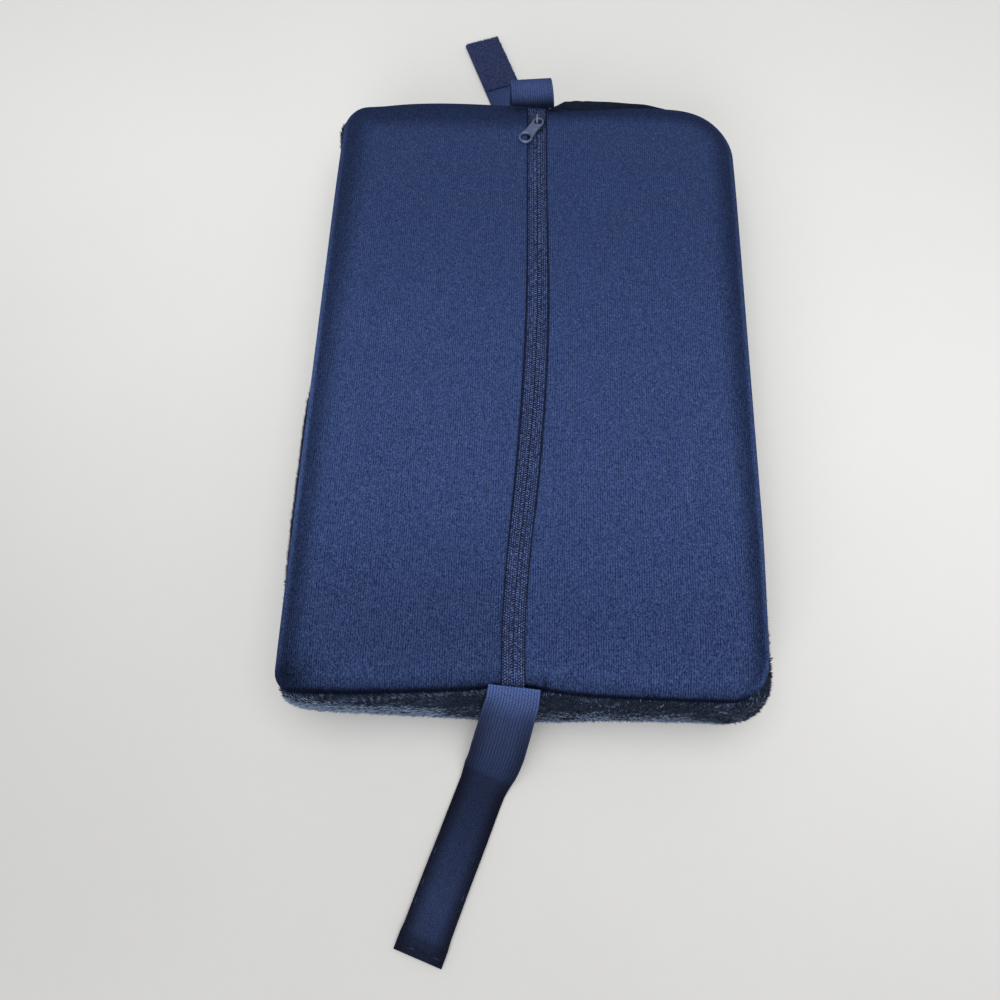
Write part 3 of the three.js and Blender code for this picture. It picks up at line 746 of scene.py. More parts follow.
# Pile: short closed spikes in four tones, brushed down the sides
pile = {
    "count": 100000, "length": 3.3, "width": 0.44, "thick": 0.3, "lift": 0.34, "rootIn": 0.25, "seed": 17,
    "lengths": (0.65, 1.25), "widths": (0.7, 1.3), "seamShorter": 0.4, "farShorter": 0.45,
    # it covers the sides, with none in the ends of the zip slit or on the roll along the far seam
    "lowest": 0.3, "reach": 16, "underSeam": 40, "overSeam": 3.2,
    "slitEnds": {"above": 48, "depth": -0.5, "past": 160, "middle": -3, "half": 11},
    "onRoll": {"above": 46, "past": 171, "from": -16, "to": 90},
    "swirls": [(0.25, 1.4, 38, 23), (0.22, 1.2, 9, 29)],  # amount, stretch down the side, size, seed
    "swirlSpread": 0.12, "liftSpread": 0.1, "liftRange": (0.1, 1.2),
    "liftWaves": (0.16, 5, 37),  # amount, size, seed
    "seamLift": 0.3, "bySeam": (51, 56),
    "flatBelow": 4, "flatShare": 0.35, "levelBelow": 3.5, "steepest": -0.1,  # it lies flat by the table
    "nearFrom": (0.4, 0.8), "farFrom": (0.3, 0.8), "rightFrom": (-25, 25),
    # level, which is the height less the way out from the seam, and the shares of dark, mid and soft pile
    # there, the rest is pale: on the near side left and right, and elsewhere
    # on the near side the pale pile low down is painted light thrown up from the table
    "nearLeft": [(0, 0.0, 0.02, 0.24), (43, 0.0, 0.06, 0.26), (45.5, 0.22, 0.34, 0.28),
                 (47.5, 0.48, 0.40, 0.10), (50.5, 0.48, 0.36, 0.12), (53.5, 0.30, 0.40, 0.23),
                 (57, 0.18, 0.40, 0.31)],
    "nearRight": [(0, 0.0, 0.06, 0.26), (28, 0.02, 0.10, 0.32), (33, 0.28, 0.30, 0.28),
                  (36.5, 0.72, 0.13, 0.11), (45, 0.78, 0.10, 0.09), (48.5, 0.66, 0.16, 0.13),
                  (52, 0.56, 0.20, 0.17), (56, 0.48, 0.23, 0.20)],
    "elsewhere": [(0, 0.08, 0.42, 0.40), (30, 0.14, 0.46, 0.32), (35, 0.40, 0.42, 0.15),
                  (40, 0.80, 0.18, 0.02), (58, 0.92, 0.08, 0.0)],
    "levelWaves": (1.2, 14, 41),  # amount, size, seed
    # x, and how much the levels shift there along the near side
    "shift": [(-120, -3.0), (-96, -2.4), (-76, 0.0), (-50, 4.0), (-30, 7.0), (10, -3.0), (40, -6.5),
              (68, -6.0), (84, 1.0), (100, 10.0), (120, 10.0)],
    # x, spread and extra share of dark pile painted as the shadow beside the near strap, and the levels where
    # it comes in and fades out
    "strapShadow": [(-25.0, 12.0, 0.75), (16.0, 10.0, 0.22)], "strapLevels": (18, 30, 47, 52),
    "clump": (0.28, 1.5, 11.0, 47),  # share of pile that the clumps darken, stretch down the side, size, seed
    "lock": (0.35, 2.2, 53), "lockSharp": 3.6, "loose": 0.3,  # slant, size, seed of locks that share a tone
    # x, and the lean of the pile there along the near side
    "lean": [(-115, -0.45), (-20, -0.55), (15, 0.0), (40, -0.25), (75, 0.3), (115, 0.2)],
}
spike = (np.array([[-0.5, 0, 0], [0.5, 0, 0], [0, 0.02, 1.0], [0, 1, 0.4]]),
         np.array([[0, 2, 1], [0, 1, 3], [1, 2, 3], [2, 0, 3]]))


def pileRoots(draw):  # random points on the sides of the body, with their normals
    mesh = plushBody.data
    mesh.calc_loop_triangles()
    corner = np.array([list(triangle.vertices) for triangle in mesh.loop_triangles])
    points, normal = pointsOf(mesh) / mm, np.array([vertex.normal for vertex in mesh.vertices])
    a, b, c = (points[corner[:, k]] for k in range(3))
    area = np.linalg.norm(np.cross(b - a, c - a), axis=1) / 2
    x, y, z = ((a + b + c) / 3).T
    flatX, flatY, _ = unsewn(x, y, z).T
    depth = seamDepth(flatX, flatY)
    slit, roll = pile["slitEnds"], pile["onRoll"]
    bare = (z > slit["above"]) & (depth > slit["depth"]) & (np.abs(flatY) > slit["past"])
    bare &= np.abs(x - slit["middle"]) < slit["half"]
    bare |= (z > roll["above"]) & (flatY > roll["past"]) & (x > roll["from"]) & (x < roll["to"])
    side = (z > pile["lowest"]) & (depth < pile["reach"])
    side &= (z < pile["underSeam"]) | (depth < pile["overSeam"])
    weight = area * (side & ~bare)
    face = draw.choice(len(corner), pile["count"], p=weight / weight.sum())
    u, v = draw.random((2, pile["count"]))
    over = u + v > 1
    u, v = np.where(over, 1 - u, u)[:, None], np.where(over, 1 - v, v)[:, None]
    mix = [1 - u - v, u, v]
    root = sum(share * points[corner[face, k]] for k, share in enumerate(mix))
    return root, unit(sum(share * normal[corner[face, k]] for k, share in enumerate(mix)))


def pileLay(root, out, flat, around, bearing, draw):  # width, way and thickness of each spike
    x, _, z = root.T
    down = unit(np.cross(around, out)) * -1
    swirl = straight(pile["lean"], x) * np.maximum(-flat[:, 1], 0)
    for amount, stretch, size, seed in pile["swirls"]:
        swirl = swirl + amount * softWaves(bearing, z * stretch, size, seed)
    swirl = swirl + draw.normal(0, pile["swirlSpread"], len(x))
    brushed = down * np.cos(swirl)[:, None] + around * np.sin(swirl)[:, None]
    bySeam = smoothStep(z, *pile["bySeam"])
    amount, size, seed = pile["liftWaves"]
    lift = pile["lift"] + amount * softWaves(bearing, z, size, seed) + pile["seamLift"] * bySeam
    lift = np.clip(lift + draw.normal(0, pile["liftSpread"], len(x)), *pile["liftRange"])[:, None]
    flatShare = pile["flatShare"]
    offTable = flatShare + (1 - flatShare) * smoothStep(z, 0, pile["flatBelow"])[:, None]
    way = unit(brushed * np.cos(lift) + out * np.sin(lift) * offTable)
    way[:, 2] = np.where(z < pile["levelBelow"], np.maximum(way[:, 2], pile["steepest"]), way[:, 2])
    length = pile["length"] * draw.uniform(*pile["lengths"], len(x)) * (1 - pile["seamShorter"] * bySeam)
    length = length * (1 - pile["farShorter"] * smoothStep(flat[:, 1], *pile["farFrom"]))
    wide = unit(np.cross(way, out)) * (pile["width"] * draw.uniform(*pile["widths"], len(x)))[:, None]
    return wide, way * length[:, None], unit(np.cross(wide, way)) * pile["thick"]


def pileTones(root, flat, bearing, draw):  # index of the tone of each spike
    x, y, z = root.T
    nearSide = smoothStep(-flat[:, 1], *pile["nearFrom"])
    rightward = smoothStep(x, *pile["rightFrom"])
    weights = {"nearLeft": nearSide * (1 - rightward), "nearRight": nearSide * rightward,
               "elsewhere": 1 - nearSide}
    patternX, patternY, _ = unsewn(x, y, z).T
    amount, size, seed = pile["levelWaves"]
    level = z + seamDepth(patternX, patternY) + amount * softWaves(bearing, z, size, seed)
    shifted = level + nearSide * straight(pile["shift"], x)
    shares = np.zeros((3, len(x)))
    for name, weight in weights.items():
        height, *byTone = np.array(pile[name], float).T
        shares += weight * np.array([np.interp(shifted, height, share) for share in byTone])
    amount, stretch, size, seed = pile["clump"]
    clump = amount * softWaves(bearing, z * stretch, size, seed)
    shares[0] += clump
    shares[1] -= clump
    inFrom, inTo, outFrom, outTo = pile["strapLevels"]
    window = nearSide * smoothStep(level, inFrom, inTo) * (1 - smoothStep(level, outFrom, outTo))
    # painted shadow: darker pile beside the near strap
    for strapX, strapSpread, strapShadowDark in pile["strapShadow"]:
        shares[0] += strapShadowDark * window * np.exp(-((x - strapX) / strapSpread) ** 2)
    run = z - x * flat[:, 0] - y * flat[:, 1]  # place down the side
    slant, size, seed = pile["lock"]
    lock = softWaves(bearing - slant * run, run * slant, size, seed)
    loose = pile["loose"]
    rank = loose * draw.random(len(x)) + (1 - loose) / (1 + np.exp(-pile["lockSharp"] * lock))
    rank = np.argsort(np.argsort(rank)) / len(x)
    return (rank > np.cumsum(shares, axis=0)).sum(axis=0)


def makePile():
    draw = np.random.default_rng(pile["seed"])
    root, out = pileRoots(draw)
    flat = unit(stacked(out[:, 0], out[:, 1], 0))
    around = stacked(-flat[:, 1], flat[:, 0], 0)
    bearing = root[:, 0] * around[:, 0] + root[:, 1] * around[:, 1]  # place along each side
    wide, way, thick = pileLay(root, out, flat, around, bearing, draw)
    tones = pileTones(root, flat, bearing, draw)
    foot = root - out * pile["rootIn"]
    for index, tone in enumerate(plush["tones"]):
        own = tones == index
        shape = copiesOf(spike, foot[own], wide[own], way[own], thick[own])
        dress(newObject("plushPile" + tone, *shape), pileMaterial(tone), "plush")
        print("pile", tone, int(own.sum()), "spikes")


makePile()


# Back panels: one sheet each side of the zip, rolled down to the seam and hemmed at the slit
panel = {
    "thick": 2.5, "thinnest": 0.7, "lip": 1.7, "lipDrop": 1.5, "hem": 0.9, "hemDrop": 0.8, "rimOut": 0.28,
    "tucked": 0.8, "tuckedReach": 5,
    # y, and half the width of the slit there
    "slit": [(-180, 5.2), (-120, 5.3), (-65, 5.9), (-20, 6.1), (25, 6.0), (90, 5.5), (180, 5.4)],
    "fromEdge": [0, 0.35, 0.8, 1.4, 2.2, 3.2, 4.5, 6, 8, 10.5, 13.5, 17, 21],
    "fromSlit": [0, 0.3, 0.7, 1.2, 1.9, 2.8, 4, 5.5, 7, 8.2, 8.7, 9.1, 9.5, 10, 11, 12.5, 15],
    "middleColumns": 16, "rowStep": 3.4,
    "inside": (1, 14), "uneven": 0.35, "unevenWaves": [(0.6, 95, 3), (0.4, 40, 4)],  # share, size, seed
    "pucker": (0.22, 7, 15, 8), "puckerSlant": 0.1,  # depth, reach, size and seed of the pucker by the zip
    # x, y, spreads and depth of the hollows at the near corners and the tuck by the near strap
    "dimples": [(-104, -165, 9, 8, 1.5), (104, -167, 10, 7, 0.5), (10.2, -172.5, 0.7, 3.6, 1.3)],
    # painted shade, how much darker it makes the cloth: along the sides, the far and near edge, by the zip,
    # and at the ends
    "sideDark": 0.46, "farDark": 0.44, "nearDark": 0.55, "nearRoll": 0.36, "hemDark": 0.42,
    "farEndDark": 0.14, "nearEndDark": {"left": 0.30, "right": 0.20}, "darkest": 0.05,
    # where each of these comes in or fades out, in from the seam, from the slit, or along the pad
    "cornerBlend": 4, "sideIn": (2.0, 4.8), "sideFade": (6, 13), "sideMore": 6, "sideMoreFrom": (-140, 0),
    "rimFade": (1.8, 4.4), "farReach": 15, "farLess": 8, "farLessFrom": (-15, 25), "farFade": 13,
    "nearFrom": 0.8, "rollFade": (1, 9), "hemFade": 0.6, "farEnd": (-20, 110), "nearEnd": (60, 160),
    # x, and how far in the painted shade of the near edge reaches there
    "nearReach": [(-115, 4.2), (-75, 4.0), (-50, 3.5), (-25, 3.0), (20, 2.4), (60, 2.3), (115, 2.3)],
    # y, and how much further in the painted shade of the side reaches there
    "sideWider": {"left": [(-175, 3.0), (-110, 2.5), (0, 0.0), (60, 2.0), (110, 4.5), (175, 4.5)],
                  "right": [(-175, 1.5), (0, 0.0), (175, 0.0)]},
    # y, and how much paler the painted highlight makes the rolled rim there
    "rimLight": {"left": [(-170, 0.1), (-110, 0.2), (0, 0.6), (100, 0.25), (165, 0.05)],
                 "right": [(-170, 0.45), (-90, 0.4), (0, 0.2), (100, 0.1), (165, 0.0)]},
    # x, y, spreads and darkness of painted shadows: by the near strap, at the near left corner, and under the
    # far strap's arch
    "shadowSpots": [(10.2, -172.5, 0.8, 3.2, 0.6), (-20, -174, 9, 4, 0.12), (4, -173.5, 6, 2.5, 0.15),
                  (-108, -168, 13, 9, 0.66), (-9, 170, 7, 3.3, 0.5), (10, 170, 6, 3.5, 0.8)],
}


def panelPaintedLight(side, x, y, depth, away):  # painted light and shade: how bright the cloth shows
    word = "left" if side < 0 else "right"
    wider = through(panel["sideWider"][word], y)
    acrossCorner = (halfWidth - np.abs(x) - halfLength + np.abs(y)) / panel["cornerBlend"]
    sideward = 1 / (1 + np.exp(acrossCorner))  # 1 by a side, 0 by an end
    fadeFrom, fadeTo = panel["sideFade"]
    fadeTo = fadeTo + panel["sideMore"] * smoothStep(y, *panel["sideMoreFrom"]) + wider
    sides = panel["sideDark"] * smoothStep(depth, *panel["sideIn"])
    sides = sides * (1 - smoothStep(depth, fadeFrom + wider / 2, fadeTo))
    rim = straight(panel["rimLight"][word], y) * (1 - smoothStep(depth, *panel["rimFade"]))
    farReach = panel["farReach"] - panel["farLess"] * smoothStep(x, *panel["farLessFrom"])
    far = panel["farDark"] * (1 - smoothStep(depth, farReach, farReach + panel["farFade"]))
    near = panel["nearDark"] * (1 - smoothStep(depth, panel["nearFrom"], through(panel["nearReach"], x)))
    near = near + panel["nearRoll"] * (1 - smoothStep(depth, *panel["rollFade"]))
    edges = sideward * (sides - rim) + (1 - sideward) * np.where(y > 0, far, near)
    ends = panel["farEndDark"] * smoothStep(y, *panel["farEnd"])
    ends = ends + panel["nearEndDark"][word] * smoothStep(-y, *panel["nearEnd"])
    hem = panel["hemDark"] * np.exp(-(away / panel["hemFade"]) ** 2)
    tone = np.maximum(1 - edges, panel["darkest"]) * (1 - ends) * (1 - hem)
    for *spot, dark in panel["shadowSpots"]:
        tone = tone * (1 - dark * hump(x, y, *spot))
    return tone


def panelGrid(side):  # pattern places of one panel, and how far each lies from the slit
    edge, inner = np.array(panel["fromEdge"], float), np.array(panel["fromSlit"], float)
    span = 2 * (halfLength - edge[-1])
    middle = np.linspace(0, span, round(span / panel["rowStep"]) + 1)[1:-1] - span / 2
    y = np.concatenate([edge - halfLength, middle, (halfLength - edge)[::-1]])[:, None]
    radius = cornerRadius(np.full_like(y, side), y)
    past = np.maximum(np.abs(y) - (halfLength - radius), 0)
    seamX = side * (halfWidth - radius + np.sqrt(np.maximum(radius ** 2 - past ** 2, 0)))
    slitX = zipX(y) + side * through(panel["slit"], y)
    wide = np.abs(seamX - slitX)
    share = np.linspace(0, 1, panel["middleColumns"] + 2)[None, 1:-1]
    between = inner[-1] + (wide - edge[-1] - inner[-1]) * share
    away = np.concatenate([np.broadcast_to(inner, (len(y), len(inner))), between, wide - edge[::-1]], axis=1)
    x = slitX + side * away
    return x, np.broadcast_to(y, x.shape), away


def panelTop(side, x, y, depth, away):  # upper face, with its swell, pucker, hollows and rolled edges
    inside = smoothStep(np.minimum(depth, away), *panel["inside"])
    swell = sum(share * softWaves(x, y, size, seed) for share, size, seed in panel["unevenWaves"])
    top = backFace(x, y) + panel["uneven"] * inside * swell
    deep, reach, size, seed = panel["pucker"]
    pucker = 1 + softWaves(y, x * panel["puckerSlant"], size, seed + side)
    top = top - deep * np.exp(-away / reach) * pucker * inside
    for *spot, deep in panel["dimples"]:
        top = top - deep * hump(x, y, *spot)
    lip = np.clip(1 - depth / panel["lip"], 0, 1)
    hem = np.clip(1 - away / panel["hem"], 0, 1)
    top = top - panel["lipDrop"] * (1 - np.sqrt(1 - lip ** 2))
    return top - panel["hemDrop"] * (1 - np.sqrt(1 - hem ** 2))


def edgeLoop(rows, columns):  # rows and columns of the places round the edge of a grid
    loop = ([(0, c) for c in range(columns)] + [(r, columns - 1) for r in range(1, rows)]
            + [(rows - 1, c) for c in range(columns - 2, -1, -1)] + [(r, 0) for r in range(rows - 2, 0, -1)])
    return np.array(loop).T


def panelSheet(side):
    x, y, away = panelGrid(side)
    depth = np.maximum(seamDepth(x, y), 0)
    top = panelTop(side, x, y, depth, away)
    under = np.minimum(backFace(x, y) - panel["thick"], top - panel["thinnest"])
    tone = panelPaintedLight(side, x, y, depth, away)
    x, y = drawnIn(x, y)
    outX, outY = seamOut(x, y)
    tuckIn = panel["tucked"] * np.clip(1 - depth / panel["tuckedReach"], 0, 1)
    upper = sewn(x, y, top)
    lower = sewn(x - outX * tuckIn, y - outY * tuckIn, under)
    rows, columns = x.shape
    rowsOf, columnsOf = edgeLoop(rows, columns)
    rim = (upper[rowsOf, columnsOf] + lower[rowsOf, columnsOf]) / 2
    inward = upper[np.clip(rowsOf, 1, rows - 2), np.clip(columnsOf, 1, columns - 2)]
    outward = upper[rowsOf, columnsOf] - inward
    rim = rim + unit(outward * np.array([1, 1, 0])) * panel["rimOut"]
    points = np.concatenate([upper.reshape(-1, 3), lower.reshape(-1, 3), rim])
    faces = bothFaces(rows, columns)
    count = rows * columns
    loop = (rowsOf * columns + columnsOf).tolist()
    for step, high in enumerate(loop):
        after = (step + 1) % len(loop)
        highNext, ring, ringNext = loop[after], 2 * count + step, 2 * count + after
        faces += [[highNext, high, ring, ringNext], [ringNext, ring, count + high, count + highNext]]
    if side < 0:
        faces = [face[::-1] for face in faces]
    return points, faces, np.concatenate([tone.ravel(), tone.ravel(), tone[rowsOf, columnsOf]])


for side, word in ((-1, "Left"), (1, "Right")):
    points, faces, tone = panelSheet(side)
    sheet = newObject("backPanel" + word, points, faces)
    storeValue(sheet, "tone", tone)
    dress(sheet, finishes["knit"], "back_knit", "back_panel_" + word.lower())
print("back panels made")


# Zip: two tapes, the coil's loops, and stitching along both hems
zipper = {
    "tapeEnd": -1.0, "tapeTop": 2.8, "tapeThick": 1.1, "tapeRows": 145,
    "endRise": (165.0, 172.0, 1.5),  # the tape climbs to the seam at both ends
    "cord": (3.1, 0.5, 0.17),  # place, spread and height of the woven cord that holds the coil
    "across": [0.15, 0.7, 1.3, 2.0, 2.7, 3.4, 4.1, 4.8, 5.6, 7.0, 9.0, 11.0, 13.0],
    "coilFrom": -169.0, "coilTo": 161.0, "coilPitch": 1.27, "coilFoot": 2.7,
    "loop": [(1.75, -0.30, 0.10), (1.6, -0.22, 0.5), (1.1, -0.05, 0.78), (0.5, 0.10, 0.78), (0.05, 0.2, 0.55),
             (-0.1, 0.24, 0.15)],
    "loopRound": [0.22, 0.27, 0.29, 0.29, 0.27, 0.2], "loopSides": 6,
    "stitch": 1.15, "stitchGap": 0.6, "stitchRound": 0.28, "stitchFrom": -170.0, "stitchTo": 171.0,
    "stitchBelow": 0.75, "stitchSeed": 3,
}
stitchForm = {"slant": 0.05, "lengths": (0.9, 1.08)}
stitchShape = tubeShape([(0, -0.5, -0.6), (0, -0.34, 0.15), (0, 0, 0.45), (0, 0.34, 0.15), (0, 0.5, -0.6)],
                        [0.45, 0.9, 1.0, 0.9, 0.45], 6)


def tapeStrip(side):
    end = halfLength - zipper["tapeEnd"]
    y = np.linspace(-end, end, zipper["tapeRows"])[:, None]
    away = np.array(zipper["across"])[None, :]
    x = zipX(y) + side * away
    y = np.broadcast_to(y, x.shape)
    cordAway, cordSpread, cordHigh = zipper["cord"]
    ridge = cordHigh * np.exp(-((away - cordAway) / cordSpread) ** 2)
    riseFrom, riseTo, rise = zipper["endRise"]
    ridge = ridge + rise * smoothStep(np.abs(y), riseFrom, riseTo)
    upper = onBack(x, y, zipper["tapeTop"] - ridge)
    lower = onBack(x, y, zipper["tapeTop"] + zipper["tapeThick"])
    rings = np.concatenate([upper, lower[:, ::-1]], axis=1)
    points, faces = sweptRings(rings)
    fromMiddle = np.broadcast_to(np.concatenate([away, away[:, ::-1]], axis=1), rings.shape[:2])
    return points, faces if side < 0 else [face[::-1] for face in faces], fromMiddle.ravel()


def overBack(x, y, below):  # points and axes on the back, for what lies along the zip
    step = 0.5
    here = onBack(x, y, below)
    along = unit(onBack(zipX(y + step) + x - zipX(y), y + step, below) - here)
    right = unit(np.cross(along, np.broadcast_to([0.0, 0.0, 1.0], along.shape)))
    return here, right, along, np.cross(right, along)


def makeCoil():
    shapes, fromMiddle = [], []
    pitch = zipper["coilPitch"]
    for side in (-1, 1):
        path = [(side * a, b, c) for a, b, c in zipper["loop"]]
        loop = tubeShape(path, zipper["loopRound"], zipper["loopSides"])
        y = np.arange(zipper["coilFrom"], zipper["coilTo"], pitch) + (side > 0) * pitch / 2
        shapes.append(copiesOf(loop, *overBack(zipX(y), y, zipper["coilFoot"])))
        fromMiddle.append(np.tile(np.abs(loop[0][:, 0]), len(y)))
    return *joined(*shapes), np.concatenate(fromMiddle)


def stitchRow(here, right, along, up, length, roundness, draw):  # short threads sunk at both ends
    slant = draw.normal(0, stitchForm["slant"], (len(here), 1))
    long = draw.uniform(*stitchForm["lengths"], (len(here), 1)) * length
    return copiesOf(stitchShape, here, right * roundness, unit(along + right * slant) * long, up * roundness)


for side, word in ((-1, "Left"), (1, "Right")):
    points, faces, fromMiddle = tapeStrip(side)
    strip = newObject("zipTape" + word, points, faces)
    storeValue(strip, "fromMiddle", fromMiddle)
    dress(strip, finishes["tape"], "zip_tape", "zip_tape_" + word.lower())

points, faces, fromMiddle = makeCoil()
zipCoil = dress(newObject("zipCoil", points, faces), finishes["coil"], "zip_coil", "zip_coil")
storeValue(zipCoil, "fromMiddle", fromMiddle)

# stitches along both hems, sunk in the gap at the slit in near-black thread: real stitching that also stands
# in for the shade in that gap
hemStitches = []
draw = np.random.default_rng(zipper["stitchSeed"])
for side in (-1, 1):
    y = np.arange(zipper["stitchFrom"], zipper["stitchTo"], zipper["stitch"] + zipper["stitchGap"])
    x = zipX(y) + side * through(panel["slit"], y)
    axes = overBack(x, y, zipper["stitchBelow"])
    hemStitches.append(stitchRow(*axes, zipper["stitch"], zipper["stitchRound"], draw))
dress(newObject("hemStitches", *joined(*hemStitches)), finishes["thread"], "back_knit")
print("zip laid")


# Slider and pull: bevelled plate with flanges, a round bail, and a stamped tab with raised rims
slider = {
    "y": 156.2, "long": 11.0, "wide": 8.6, "nose": 6.0, "shoulder": 2.2, "bow": 1.0, "plate": 1.4,
    "bevel": 0.28, "flange": 1.1, "flangeMore": 0.6, "flangeBevel": 0.2,
    "coilWide": 4.4, "coilHigh": 1.5, "coilGap": 0.3,
    "bailLong": 7.2, "bailInside": 2.9, "bailBar": 1.1, "bailSunk": 0.3, "bailRound": 0.8, "bailWide": 1.25,
}
pull = {
    "eye": (1.3, 153.8, 3.3, 2.1), "ring": (-5.7, 142.8, 4.0, 2.75),  # x, y, outer and hole radius
    "waist": 2.5, "thick": 1.5, "lift": 0.5, "bevel": 0.3,
    "eyeRim": (0.45, 0.34), "ringRim": (0.5, 0.42), "rimSunk": 0.12,  # way out from the hole, and radius
    "rimSteps": 40, "rimSides": 8,
}


def curvePlate(name, outlines, thick, bevel):  # flat plate from closed outlines, the rim first and then holes
    curve = bpy.data.curves.new(name, "CURVE")
    curve.dimensions = "2D"
    curve.fill_mode = "BOTH"
    curve.extrude = (thick / 2 - bevel) * mm
    curve.bevel_depth = bevel * mm
    curve.bevel_resolution = 3
    curve.offset = -bevel * mm
    for outline in outlines:
        spline = curve.splines.new("POLY")
        spline.points.add(len(outline) - 1)
        for point, (x, y) in zip(spline.points, outline):
            point.co = (x * mm, y * mm, 0, 1)
        spline.use_cyclic_u = True
    obj = bpy.data.objects.new(name, curve)
    bpy.context.scene.collection.objects.link(obj)
    graph = bpy.context.evaluated_depsgraph_get()
    mesh = bpy.data.meshes.new_from_object(obj.evaluated_get(graph))
    bpy.data.objects.remove(obj)
    points = pointsOf(mesh) / mm + [0, 0, thick / 2]
    faces = [list(face.vertices) for face in mesh.polygons]
    bpy.data.meshes.remove(mesh)
    return points, faces


def arc(x, y, radius, start, end, steps):
    angle = np.linspace(start, end, steps)
    return [(x + radius * math.cos(a), y + radius * math.sin(a)) for a in angle]


def bowed(start, bend, end, steps):
    t = np.linspace(0, 1, steps)[1:-1, None]
    points = (1 - t) ** 2 * np.array(start) + 2 * t * (1 - t) * np.array(bend) + t ** 2 * np.array(end)
    return [tuple(point) for point in points]


def makeSlider():
    halfLong, halfWide, halfNose = slider["long"] / 2, slider["wide"] / 2, slider["nose"] / 2
    shoulder = slider["shoulder"]
    noseLeft, noseRight = (-halfNose, -halfLong), (halfNose, -halfLong)
    tailLeft, tailRight = (-halfNose, halfLong), (halfNose, halfLong)
    sideLeft, sideRight = (-halfWide, shoulder), (halfWide, shoulder)
    outline = [noseLeft, *bowed(noseLeft, (0, -halfLong - slider["bow"]), noseRight, 8), noseRight,
               sideRight, *bowed(sideRight, (halfWide, halfLong), tailRight, 8), tailRight,
               tailLeft, *bowed(tailLeft, (-halfWide, halfLong), sideLeft, 8), sideLeft]
    shapes = [curvePlate("sliderPlate", [outline], slider["plate"], slider["bevel"])]
    flangeX = slider["coilWide"] / 2 + slider["coilGap"] + slider["flange"] / 2
    a, b = slider["flange"] / 2, halfLong / 2
    for side in (-1, 1):
        strip = [(side * flangeX + x, y) for x, y in ((-a, -b), (a, -b), (a, b), (-a, b))]
        high = slider["coilHigh"] + slider["flangeMore"]
        points, faces = curvePlate("sliderFlange", [strip], high, slider["flangeBevel"])
        shapes.append((points - [0, 0, slider["coilHigh"]], faces))
    outer, top = slider["bailLong"] / 2 - slider["bailBar"] / 2, slider["bailInside"] + slider["bailBar"] / 2
    foot, sunk = slider["plate"] - slider["bailSunk"], slider["bailSunk"]
    path = [(0, -outer * math.cos(a), foot + (top + sunk) * math.sin(a) ** slider["bailRound"])
            for a in np.linspace(0, math.pi, 17)]
    bailPoints, bailFaces = tubeShape(path, np.full(len(path), slider["bailBar"] / 2), 10)
    return joined(*shapes), (bailPoints * [slider["bailWide"], 1, 1], bailFaces.tolist())


def makePull():
    eyeX, eyeY, eyeRound, eyeHole = pull["eye"]
    ringX, ringY, ringRound, ringHole = pull["ring"]
    span = math.hypot(eyeX - ringX, eyeY - ringY)
    waist = pull["waist"]
    outline = [*arc(0, 0, eyeRound, 0, math.pi, 17),
               *bowed((-eyeRound, 0), (-waist, -span / 2), (-ringRound, -span), 10),
               *arc(0, -span, ringRound, math.pi, 2 * math.pi, 21),
               *bowed((ringRound, -span), (waist, -span / 2), (eyeRound, 0), 10)]
    holes = [arc(0, 0, eyeHole, 2 * math.pi, 0, 25)[:-1], arc(0, -span, ringHole, 2 * math.pi, 0, 29)[:-1]]
    shapes = [curvePlate("pullTab", [outline, *holes], pull["thick"], pull["bevel"])]
    rimHeight = pull["thick"] - pull["rimSunk"]
    steps, sides = pull["rimSteps"], pull["rimSides"]
    last = (steps - 1) * sides
    for y, hole, (outward, rim) in ((-span, ringHole, pull["ringRim"]), (0, eyeHole, pull["eyeRim"])):
        rimX, rimY = np.array(arc(0, y, hole + outward, 0, 2 * math.pi, steps + 1)[:-1]).T
        loop = stacked(rimX, rimY, rimHeight)
        way = unit(loop - [0, y, rimHeight])
        ring = loop[:, None, :] + rim * circled(way, np.broadcast_to([0.0, 0.0, 1.0], way.shape), sides)
        closing = [[last + k, last + (k + 1) % sides, (k + 1) % sides, k] for k in range(sides)]
        shapes.append((ring.reshape(-1, 3), ringFaces(steps, sides) + closing))
    return joined(*shapes), span


sliderNear = slider["y"] - slider["long"] / 2
sliderFoot = float(backFace(zipX(sliderNear), sliderNear)) - zipper["coilFoot"]
sliderFoot = sliderFoot + slider["coilHigh"] + slider["coilGap"]
sliderPlace = [float(zipX(slider["y"])), slider["y"], sliderFoot]
(sliderPoints, sliderFaces), (bailPoints, bailFaces) = makeSlider()
zipSlider = newObject("zipSlider", sliderPoints + sliderPlace, sliderFaces)
# the slider body takes the darker copy of the enamel: painted shade
dress(zipSlider, finishes["shadedEnamel"], "zip_metal", "zip_slider")
dress(newObject("zipBail", bailPoints + sliderPlace, bailFaces), finishes["enamel"], "zip_metal")

(pullPoints, pullFaces), pullSpan = makePull()
eyeX, eyeY, *_ = pull["eye"]
ringX, ringY, *_ = pull["ring"]
eyeFoot = sliderFoot + slider["plate"] + pull["lift"]
ringFoot = float(backFace(ringX, ringY)) + pull["lift"]
bearing = math.atan2(ringX - eyeX, eyeY - ringY)
tilt = math.atan2(eyeFoot - ringFoot, pullSpan)
turned = np.array(Matrix.Rotation(bearing, 3, "Z") @ Matrix.Rotation(tilt, 3, "X"))
zipPull = newObject("zipPull", pullPoints @ turned.T + [eyeX, eyeY, eyeFoot], pullFaces)
dress(zipPull, finishes["enamel"], "zip_metal", "zip_pull")
print("slider and pull made")


